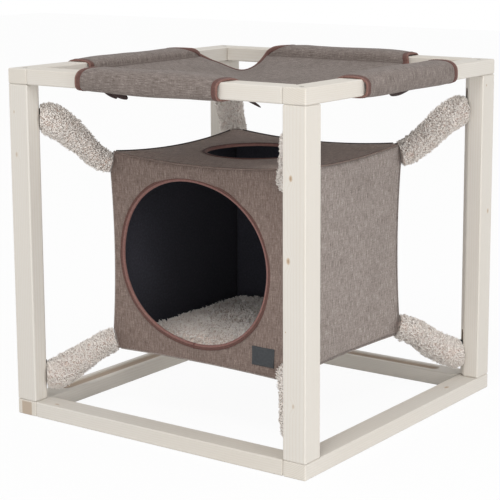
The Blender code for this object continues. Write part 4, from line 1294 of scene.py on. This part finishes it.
facing = pile_tree.node("FunctionNodeRotateRotation", {"Rotation": across_face, "Rotate By": turned},
                        rotation_space="LOCAL")
length = pile_tree.maths("MULTIPLY", pile_tree.chance(0.55, 1.15, seed), given["Length"])
copies = pile_tree.copies(spots, pile_tree.original("Lock"), Rotation=facing, Scale=length)
toned = pile_tree.node("GeometryNodeStoreNamedAttribute",
                       {"Geometry": copies, "Name": "tone", "Value": pile_tree.chance(0.0, 1.0, seed)},
                       data_type="FLOAT", domain="INSTANCE")
both = pile_tree.node("GeometryNodeJoinGeometry", {0: pile_tree.realized(toned)})
pile_tree.group.links.new(given["Geometry"], both.node.inputs[0])
pile_tree.done(both, "Finish")
LOCK = lock_shape("lock_original", 0.11)
print("pile tree with", len(pile_tree.group.nodes), "nodes")

# %% Pile on the cushion
grown(cushion, pile_tree, {"Lock": LOCK, "Locks per square metre": 78000.0, "Length": 0.0070,
                           "Clump size": 0.026, "Lean": 1.8, "Swirl": 0.7, "Seed": 11,
                           "Finish": CUSHION_PLUSH})
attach(cushion, "cave")
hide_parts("cushion")
print("cushion with pile:", len(cushion.data.polygons), "faces")

# %% [markdown]
# ## Plush legs
#
# A leg is a stuffed tube. It leaves the post as a blunt, fat end and thins towards the corner of
# the cave, where it is sewn in. Its middle line is a cubic curve, with nearly the same handles
# as in the CAD model. The body under the pile is lumpy, because the wadding in it is.

# %% Body of a leg
POST_RADIUS, CAVE_RADIUS, PILE_DEPTH = 0.0250, 0.0205, 0.0030
LEG_HEIGHT = {1: 0.513, -1: 0.0655}          # of its end at the post
LEG_INSET = {1: 0.009, -1: -0.003}           # of its end at the cave, down along the cut corner
POST_HANDLE, CAVE_HANDLE = 0.28, 0.32        # the handles of its middle line, as shares of its reach
RINGS, SIDES = 80, 48
LEG_IN_CORNER = 0.0004                       # how far off the cut corner its pile is held
WEBBING_SHOWS = {1: 0.520, -1: 0.052}        # the pile lies over the webbing, all but a little of it
OVER_WEBBING, BESIDE_POST = 0.0017, 0.0005   # how far it may reach past the leg's end, towards the post
# What sets one leg off from the next: how far its handle at the post is lifted, how far it moves over
# at the cave, how slim it is there, and how much its middle swells.
PLAIN_LEG = (0.0, 0.0, 1.0, 0.0)
LEG_HABITS = {("front_left", 1): (0.008, 0.0, 0.80, 0.07), ("front_left", -1): (0.0, 0.0, 0.90, 0.0),
              ("front_right", 1): (0.0, 0.0055, 0.86, 0.0), ("front_right", -1): (0.0, 0.0055, 0.86, 0.0),
              ("back_right", 1): (-0.006, 0.0, 1.0, 0.0)}


def leg_line(sx, sy, sz, rise):
    """The four control points of the leg's middle line, from post to cave."""
    away, across = corner_ways(sx, sy)
    start = away * (SLOT_FACE - 0.0020) + Vector((0, 0, LEG_HEIGHT[sz]))
    middle, normal = corner_plane(sx, sy, sz)
    end = middle + normal * CLEAR + across.cross(normal) * LEG_INSET[sz]
    reach = (start - end).length
    second = start - away * POST_HANDLE * reach + Vector((0, 0, rise))
    return [start, second, end + normal * CAVE_HANDLE * reach, end]


def on_curve(line, t):
    """A cubic curve's point and its direction."""
    weights = ((1 - t) ** 3, 3 * t * (1 - t) ** 2, 3 * t * t * (1 - t), t ** 3)
    slopes = (-3 * (1 - t) ** 2, 3 * (1 - t) * (1 - 3 * t), 3 * t * (2 - 3 * t), 3 * t * t)
    place = sum((p * k for p, k in zip(line, weights)), Vector())
    return place, sum((p * k for p, k in zip(line, slopes)), Vector()).normalized()


def leg_radius(t, slim, swell):
    """The body's radius under the pile, from the post at 0 to the cave at 1."""
    blunt = math.sqrt(max(0.0, 1 - (1 - min(t / 0.16, 1.0)) ** 2))
    radius = POST_RADIUS + (CAVE_RADIUS - POST_RADIUS) * smooth_step(t)
    radius = (radius - PILE_DEPTH) * (0.60 + 0.40 * blunt) * (1 + (slim - 1) * smooth_step(t))
    radius *= 1 + swell * math.sin(math.pi * min(t / 0.6, 1.0))
    return radius * (1 - 0.10 * smooth_step((t - 0.90) / 0.10))


def leg_body(name, line, across, seed, habit):
    _, shift, slim, swell = habit
    points = []
    for i in range(RINGS + 1):
        t = (i / RINGS) ** 1.15
        place, along = on_curve(line, t)
        radius = leg_radius(t, slim, swell)
        place += across * shift * smooth_step(t / 0.7)
        upright = across.cross(along).normalized()
        for angle in turns(SIDES):
            way = across * math.cos(angle) + upright * math.sin(angle)
            bump = noise.noise(place * 38 + way * 1.1 + Vector((seed, 0, 0))) * 0.0022
            bump += noise.noise(place * 170 + way * 3.6 + Vector((0, seed, 0))) * 0.0019
            points.append(place + way * (radius + bump * min(1.0, t * 8, (1 - t) * 8)))
    faces = quads(RINGS + 1, SIDES, wrap=True) + end_caps(RINGS + 1, SIDES)
    return outward(build(name, points, faces, [PLUSH], None))


def press(leg, sx, sy, sz, start):
    """Presses the pile flat where it would run into the cave's corner or the post."""
    away, _ = corner_ways(sx, sy)
    cut, normal = corner_plane(sx, sy, sz)
    for vertex in leg.data.vertices:
        sunk = LEG_IN_CORNER - (vertex.co - cut).dot(normal)
        if sunk > 0:
            vertex.co += normal * sunk
        past = (vertex.co - start).dot(away)
        covered = vertex.co.z * sz < WEBBING_SHOWS[sz] * sz
        limit = OVER_WEBBING if covered else BESIDE_POST
        if past > limit:
            vertex.co -= away * (past - limit)


# %% Legs with pile
LEG_PILE = {"Lock": LOCK, "Locks per square metre": 385000.0, "Length": 0.0064, "Clump size": 0.0080,
            "Lean": 4.3, "Swirl": 3.1, "Finish": PLUSH}
legs = []
for number, (corner, (sx, sy)) in enumerate(CORNERS.items()):
    for sz in (1, -1):
        level = "upper" if sz > 0 else "lower"
        seed = number * 2 + (sz > 0)
        habit = LEG_HABITS.get((corner, sz), PLAIN_LEG)
        line = leg_line(sx, sy, sz, habit[0])
        leg = leg_body(level + "_plush_leg_" + corner, line, corner_ways(sx, sy)[1], seed, habit)
        grown(leg, pile_tree, {**LEG_PILE, "Seed": 31 + seed})
        press(leg, sx, sy, sz, line[0])
        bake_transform(leg)
        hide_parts(level + "_leg_" + corner)
        legs.append(leg)
bpy.data.objects.remove(LOCK)
print("legs:", {leg.name: len(leg.data.polygons) for leg in legs})

# %% [markdown]
# ## Sheet on top
#
# The bed is one piece of cloth in the shape of a broad cross. Its middle sags a little, its corners
# are scooped out, and each arm wraps round a rail and is sewn back to the bed's edge, which makes a
# sleeve. The grid of points follows that cut, so the flat map is the cut itself and the streaks of
# the weave run the same way over the whole cloth, along two of the sleeves and across the others.

# %% Shape of the sheet
RAIL_REACH, SLEEVE_RISE, SLEEVE_MIDDLE = 0.028, 0.0195, 0.589
TOP_POWER, BOTTOM_POWER = 0.70, 0.50
BED_SAG, SLEEVE_END, CLOTH_THICKNESS = 0.033, math.radians(18), 0.0018
SEAM = RAIL_MIDDLE - RAIL_REACH
SIDE_CELLS, SCOOP_CELLS, BED_RINGS, SLEEVE_STEPS = 44, 22, 26, 56
OUT_WAYS = ((0, -1), (1, 0), (0, 1), (-1, 0))
# How far each sleeve reaches from its middle to either end: at the bed's seam, on the rail's top and
# on its outer side. The sleeves go round from the front one, and none is sewn quite like another.
SLEEVE_ENDS = (
    ((0.151, 0.129, 0.1350), (0.140, 0.136, 0.1345)),
    ((0.133, 0.135, 0.1320), (0.122, 0.134, 0.1390)),
    ((0.145, 0.137, 0.1310), (0.156, 0.122, 0.1100)),
    ((0.163, 0.125, 0.1000), (0.141, 0.139, 0.1365)),
)
SLEEVE_PINCH = ((0.12, 0.22), (0.22, 0.04), (0.17, 0.08), (0.02, 0.10))
SLEEVE_LIFT = (0.0, 0.0, 0.0, -0.0032)
# How deep each scooped corner hangs, how straight it runs into the next sleeve, and how much shallower
# its further half is.
SCOOP_DROPS = (0.026, 0.031, 0.030, 0.031)
SCOOP_STRAIGHT = (0.0, 0.0, 0.75, 0.0)
SCOOP_FADE = (0.0, 0.0, 0.45, 0.0)


def on_side(side, out, along, up):
    """Turns a point given for the front sleeve to one of the four sides."""
    x, y = OUT_WAYS[side]
    return Vector((out * x - along * y, out * y + along * x, up))


def sleeve_section(t):
    """The sleeve's section from the bed's seam over the rail and back under it, t from 0 to 1.

    The third number is how far round it is: -1 at the seam, 0 on top, 1 on the outer side and below.
    """
    angle = math.pi - (2 * math.pi - SLEEVE_END) * t
    c, s = math.cos(angle), math.sin(angle)
    power = TOP_POWER if s > 0 else BOTTOM_POWER
    out = RAIL_MIDDLE + RAIL_REACH * signed_power(c, power)
    up = SLEEVE_MIDDLE + SLEEVE_RISE * signed_power(s, power)
    return out, up, min(1.0, 1 - angle / (math.pi / 2))


SECTION = [sleeve_section(i / SLEEVE_STEPS) for i in range(SLEEVE_STEPS + 1)]
SECTION_RUN = [0.0]
for before, after in zip(SECTION, SECTION[1:]):
    SECTION_RUN.append(SECTION_RUN[-1] + math.dist(before[:2], after[:2]))
print("cloth round a rail:", round(SECTION_RUN[-1] * 1000), "mm")


def sleeve_length(side, step, s):
    """Where the cloth lies along the sleeve, s from -1 to 1."""
    seam, top, outer = SLEEVE_ENDS[side][0 if s < 0 else 1]
    over = SECTION[step][2]
    return s * (top + ((seam if over < 0 else outer) - top) * abs(over) ** 1.6)


def sleeve_point(side, step, s):
    """A point of a sleeve, s from -1 to 1 along it, with the unevenness of real cloth."""
    out, up, _ = SECTION[step]
    t = step / SLEEVE_STEPS
    along = sleeve_length(side, step, s)
    loose = smooth_step(t / 0.12) * (1 - smooth_step((t - 0.85) / 0.15) * 0.5)
    puff = 0.0007 * math.sin(s * 4.2 + side * 1.7 + t * 3)
    puff += 0.0012 * noise.noise(Vector((along * 12, t * 2.0, side * 4.0)))
    puff += 0.0003 * noise.noise(Vector((along * 50, t * 5, side * 9.0)))
    grow = 1 + loose * puff / RAIL_REACH
    above = up > SLEEVE_MIDDLE
    pinch = 1 - (SLEEVE_PINCH[side][0 if s < 0 else 1] if above else 0.09) * abs(s) ** 7 * loose
    out = RAIL_MIDDLE + (out - RAIL_MIDDLE) * grow
    lift = SLEEVE_LIFT[side] * loose * (up - SLEEVE_MIDDLE) / SLEEVE_RISE if above else 0.0
    up = SLEEVE_MIDDLE + (up - SLEEVE_MIDDLE) * grow * pinch + lift
    return on_side(side, out, along, up)


def bed_outline():
    """Points round the bed: each side's seam, then the scooped corner after it."""
    outline = []
    for side in range(4):
        for i in range(SIDE_CELLS):
            s = 2 * i / SIDE_CELLS - 1
            outline.append(on_side(side, SEAM, sleeve_length(side, 0, s), SLEEVE_MIDDLE))
        wide, deep = scoop_radii(side)
        for i in range(SCOOP_CELLS):
            angle = -math.pi / 2 - math.pi / 2 * i / SCOOP_CELLS
            share = i / SCOOP_CELLS
            drop = SCOOP_DROPS[side] * math.sin(math.pi * share)
            drop *= 1 - SCOOP_FADE[side] * smooth_step((share - 0.3) / 0.5)
            straight = SCOOP_STRAIGHT[side] * smooth_step(share * 1.4)
            out = math.cos(angle) + (-share - math.cos(angle)) * straight
            along = math.sin(angle) + (share - 1 - math.sin(angle)) * straight
            outline.append(on_side(side, SEAM + wide * out, SEAM + deep * along, SLEEVE_MIDDLE - drop))
    return outline


def scoop_radii(side):
    """The scooped corner after a side is a quarter of an oval: its radius across and along that side."""
    return SEAM - SLEEVE_ENDS[(side + 1) % 4][0][0], SEAM - SLEEVE_ENDS[side][1][0]


# %% Sheet
def bed_points(outline):
    """The bed's points in rings from its middle out to its outline, and their places on the flat cloth."""
    middle = Vector((0, 0, SLEEVE_MIDDLE - BED_SAG))
    points, flat = [middle], [(0.0, 0.0)]
    for ring in range(1, BED_RINGS + 1):
        share = ring / BED_RINGS
        for edge in outline:
            up = middle.z + (edge.z - middle.z) * share ** 2
            spot = Vector((edge.x * share, edge.y * share, up))
            slack = (1 - share ** 6) * share
            spot.z += slack * (0.0030 * noise.noise(spot * 9) + 0.0010 * noise.noise(spot * 26))
            angle = math.atan2(spot.y, spot.x)
            pull = abs(math.cos(2 * angle)) ** 0.5
            spot.z += slack * share * 0.0012 * math.cos(20 * angle) * (1 - pull)
            points.append(spot)
            flat.append((spot.y, spot.x))
    return points, flat


def make_sheet():
    """The whole cloth, and the line of points with their normals that each binding follows."""
    outline = bed_outline()
    count = len(outline)
    points, flat = bed_points(outline)
    faces = [(0, 1 + k, 1 + (k + 1) % count) for k in range(count)]
    faces += [(b, a, d, c) for a, b, c, d in quads(BED_RINGS, count, 1, wrap=True)]
    rim = 1 + (BED_RINGS - 1) * count
    sleeves, paths = [], []
    for side in range(4):
        first = side * (SIDE_CELLS + SCOOP_CELLS)
        grid = [[rim + (first + i) % count for i in range(SIDE_CELLS + 1)]]
        for step in range(1, SLEEVE_STEPS + 1):
            fresh = list(range(len(points), len(points) + SIDE_CELLS + 1))
            for i in range(SIDE_CELLS + 1):
                s = 2 * i / SIDE_CELLS - 1
                points.append(sleeve_point(side, step, s))
                cut = on_side(side, SEAM + SECTION_RUN[step], sleeve_length(side, step, s), 0)
                flat.append((cut.y, cut.x))
            faces += [(a, c, d, b) for a, b, c, d in zip(grid[-1], grid[-1][1:], fresh, fresh[1:])]
            grid.append(fresh)
        sleeves.append(grid)
    for side in range(4):
        start = side * (SIDE_CELLS + SCOOP_CELLS) + SIDE_CELLS
        scoop = [rim + (start + i) % count for i in range(SCOOP_CELLS + 1)]
        down = [row[-1] for row in reversed(sleeves[side][1:])]
        paths.append(down + scoop + [row[0] for row in sleeves[(side + 1) % 4][1:]])
    # The sheet's darker copy of the canvas is painted shade.
    piece = build("hammock_cloth", points, faces, [SHEET_CANVAS_PAINTED_SHADE], None, flat)
    with edited(piece) as shape:
        bmesh.ops.recalc_face_normals(shape, faces=shape.faces)
        shape.verts.ensure_lookup_table()
        shape.normal_update()
        if shape.verts[0].normal.z < 0:
            bmesh.ops.reverse_faces(shape, faces=shape.faces)
            shape.normal_update()
        edges = [[(shape.verts[k].co.copy(), shape.verts[k].normal.copy()) for k in path] for path in paths]
    return piece, edges


sheet, sheet_edges = make_sheet()
thick = sheet.modifiers.new("cloth_thickness", "SOLIDIFY")
thick.thickness, thick.offset = CLOTH_THICKNESS, 0.0
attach(sheet, "frame")
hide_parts("hammock_sheet")
print("sheet:", len(sheet.data.polygons), "faces")

# %% [markdown]
# ## Binding of the sheet
#
# A folded tape runs along each scooped corner and on round the ends of the two sleeves beside it, in
# one length. Its section is a flat oval with a rounded outer fold, and the last few millimetres,
# where light catches the fold, are paler. A row of stitches holds it to the cloth.

# %% Bindings of the sheet
TAPE_WIDTH = 0.0090


def tape_section():
    """(past the cloth's edge, off the cloth): thin where it grips the cloth, thicker at the fold."""
    upper = [(-0.0021, 0.0013), (-0.0012, 0.0017), (0.0014, 0.0017), (0.0042, 0.0018), (0.0055, 0.0014),
             (0.0061, 0.0018), (0.0075, 0.0019), (0.0085, 0.0013), (TAPE_WIDTH, 0.0)]
    return upper + [(x, -y) for x, y in reversed(upper[:-1])]


TAPE_SLOTS = [0] * 4 + [1] * 8 + [0] * 5


def binding_path(edge):
    path = []
    for i, (place, normal) in enumerate(edge):
        before, after = edge[max(i - 2, 0)][0], edge[min(i + 2, len(edge) - 1)][0]
        along = (after - before).normalized()
        path.append((place, along.cross(normal).normalized(), along))
    even = [sum((step[1] for step in path[max(i - 4, 0):i + 5]), Vector()) for i in range(len(path))]
    return [(place, side.normalized(), side.cross(along).normalized())
            for (place, _, along), side in zip(path, even)]


tapes, tape_rows = [], []
for corner, edge in zip(("front_right", "back_right", "back_left", "front_left"), sheet_edges):
    path = binding_path(edge)
    tape = ribbon("binding_" + corner, path, tape_section(), [TAPE, TAPE_LIGHT], "frame", slots=TAPE_SLOTS)
    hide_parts("hammock_tape_" + corner)
    tapes.append(tape)
    for face in (1, -1):
        tape_rows.append([place + side * 0.0004 + up * 0.0018 * face for place, side, up in path])
stitches("binding_stitches", tape_rows, 0.0036, 0.0027, 0.0006, THREAD_RED, "frame")

# %% [markdown]
# ## Seams and loose tails
#
# Where an arm of the cloth comes back to the bed it is sewn through with two rows of stitches. The
# ends of the bindings hang on below as short tails. Five of them show in the photograph.

# %% Seams and tails
SEAM_CELLS, SEAM_SHARE = 44, 0.97
seam_rows = []
for side in range(4):
    for inset, rise in ((0.0026, -0.0002), (0.0050, -0.0007)):
        row = []
        for i in range(SEAM_CELLS + 1):
            along = sleeve_length(side, 0, 2 * i / SEAM_CELLS - 1) * SEAM_SHARE
            row.append(on_side(side, SEAM - inset, along, SLEEVE_MIDDLE + rise + 0.0010))
        seam_rows.append(row)
stitches("bed_seam_stitches", seam_rows, 0.0040, 0.0030, 0.0007, THREAD, "frame")

# A tail is its points, half its width across and half its height.
TAILS = {
    "front_right_end": ([(0.125, -0.253, 0.5750), (0.147, -0.240, 0.5705), (0.160, -0.236, 0.5645),
                         (0.174, -0.235, 0.5575)], 0.0040, 0.0027),
    "front_left_end": ([(-0.130, -0.250, 0.5680), (-0.124, -0.244, 0.5640), (-0.117, -0.241, 0.5595),
                        (-0.112, -0.240, 0.5545)], 0.0016, 0.0060),
    "front_left_fold": ([(-0.113, -0.250, 0.5670), (-0.105, -0.244, 0.5625), (-0.096, -0.241, 0.5590),
                         (-0.088, -0.241, 0.5560)], 0.0016, 0.0062),
    "right_front_end": ([(0.253, -0.140, 0.5735), (0.244, -0.152, 0.5700), (0.242, -0.160, 0.5660)],
                        0.0030, 0.0014),
    "right_middle": ([(0.252, 0.018, 0.5650), (0.247, 0.036, 0.5615), (0.246, 0.066, 0.5605),
                      (0.250, 0.098, 0.5650)], 0.0014, 0.0070),
    "back_right_end": ([(0.132, 0.252, 0.5735), (0.148, 0.242, 0.5690), (0.158, 0.240, 0.5640)],
                       0.0030, 0.0014),
    "left_front_end": ([(-0.252, -0.130, 0.5735), (-0.244, -0.146, 0.5680), (-0.243, -0.156, 0.5630)],
                       0.0030, 0.0014),
}


def smooth_line(points, steps):
    """A curve that runs through all the points."""
    points = [Vector(p) for p in points]
    line = []
    for i in range(steps + 1):
        t = i / steps * (len(points) - 1)
        k = min(int(t), len(points) - 2)
        f = t - k
        a, b = points[k], points[k + 1]
        before, after = points[max(k - 1, 0)], points[min(k + 2, len(points) - 1)]
        line.append(0.5 * ((2 * a) + (b - before) * f + (2 * before - 5 * a + 4 * b - after) * f ** 2 +
                           (3 * a - before - 3 * b + after) * f ** 3))
    return line


def tail(name, points, across, high):
    """A short folded end of tape, rounded off at its tip."""
    shaped = []
    for i, (place, side, up) in enumerate(framed(smooth_line(points, 30), Vector((0, 0, 1)))):
        share = math.sin(math.pi * min(1.0, 0.12 + i / 34)) ** 0.6
        shaped.append((place, side * share, up * share))
    # The tail's dark colour is painted shade.
    piece = ribbon("binding_tail_" + name, shaped, oval(across, high, 12), [TAIL_PAINTED_SHADE], "frame")
    return piece


tails = [tail(name, *shape) for name, shape in TAILS.items()]

# %% [markdown]
# ## Studio
#
# The photograph has no backdrop to speak of: the object stands in even, soft light on white. The
# floor is a pale plane that keeps a faint shadow, and the camera sees it and the world near white
# while the light on the object stays at a plain level.

# %% Floor, world and lamps
FLOOR_REACH, FLOOR_SUNK = 9, 0.0005
FLOOR_WHITE = (0.86, 0.86, 0.86)
FLOOR_GLOW, WORLD_FILL = 0.94, 0.72
floor_corners = [(sx * FLOOR_REACH, sy * FLOOR_REACH, -FLOOR_SUNK) for sx, sy in CORNERS.values()]
floor_mesh = mesh_of("studio_floor", floor_corners, [(0, 1, 2, 3)])
studio_floor = put("studio_floor", floor_mesh)


def two_shaders(tree, factor, first, second, output):
    """Mixes two shaders into a tree's output."""
    mixed = tree.nodes.new("ShaderNodeMixShader")
    for socket, source in zip(mixed.inputs, (factor, first, second)):
        tree.links.new(source, socket)
    tree.links.new(mixed.outputs[0], tree.nodes[output].inputs["Surface"])


ground = Finish("studio_floor")
ray = ground.tree.nodes.new("ShaderNodeLightPath").outputs
sees = Signal(ground, ray["Is Camera Ray"]).most(Signal(ground, ray["Is Glossy Ray"]))
sees = sees.most(Signal(ground, ray["Is Transmission Ray"]))
ground.finish(Base_Color=FLOOR_WHITE, Roughness=0.9, Specular_IOR_Level=0.1)
glow = ground.node("ShaderNodeEmission", {}, {"Color": (1, 1, 1), "Strength": 1.0})
two_shaders(ground.tree, (sees * FLOOR_GLOW).socket, ground.shader.outputs[0], glow.socket, "Material Output")
floor_mesh.materials.append(ground.material)

world = bpy.data.worlds.new("studio")
bpy.context.scene.world = world
world.use_nodes = True
air = world.node_tree
fill = air.nodes["Background"]
fill.inputs["Color"].default_value = (1, 1, 1, 1)
fill.inputs["Strength"].default_value = WORLD_FILL
seen = air.nodes.new("ShaderNodeBackground")
seen.inputs["Color"].default_value = (1, 1, 1, 1)
view = air.nodes.new("ShaderNodeLightPath").outputs["Is Camera Ray"]
two_shaders(air, view, fill.outputs[0], seen.outputs[0], "World Output")


def lamp(name, place, target, size, power):
    light = bpy.data.lights.new(name, "AREA")
    light.shape = "DISK"
    light.size = size
    light.energy = power
    holder = put(name, light)
    holder.location = place
    holder.rotation_euler = (Vector(target) - Vector(place)).to_track_quat("-Z", "Y").to_euler()


lamp("high", (0.85, -1.65, 2.82), (0, -0.1, 0.3), 1.0, 26)
lamp("side", (3.0, -1.0, 0.62), (0, 0, 0.35), 1.2, 23)
lamp("front", (0.9, -2.7, 0.56), (0, 0, 0.4), 1.0, 6)
bpy.context.scene.view_settings.view_transform = "Standard"
print("studio ready")
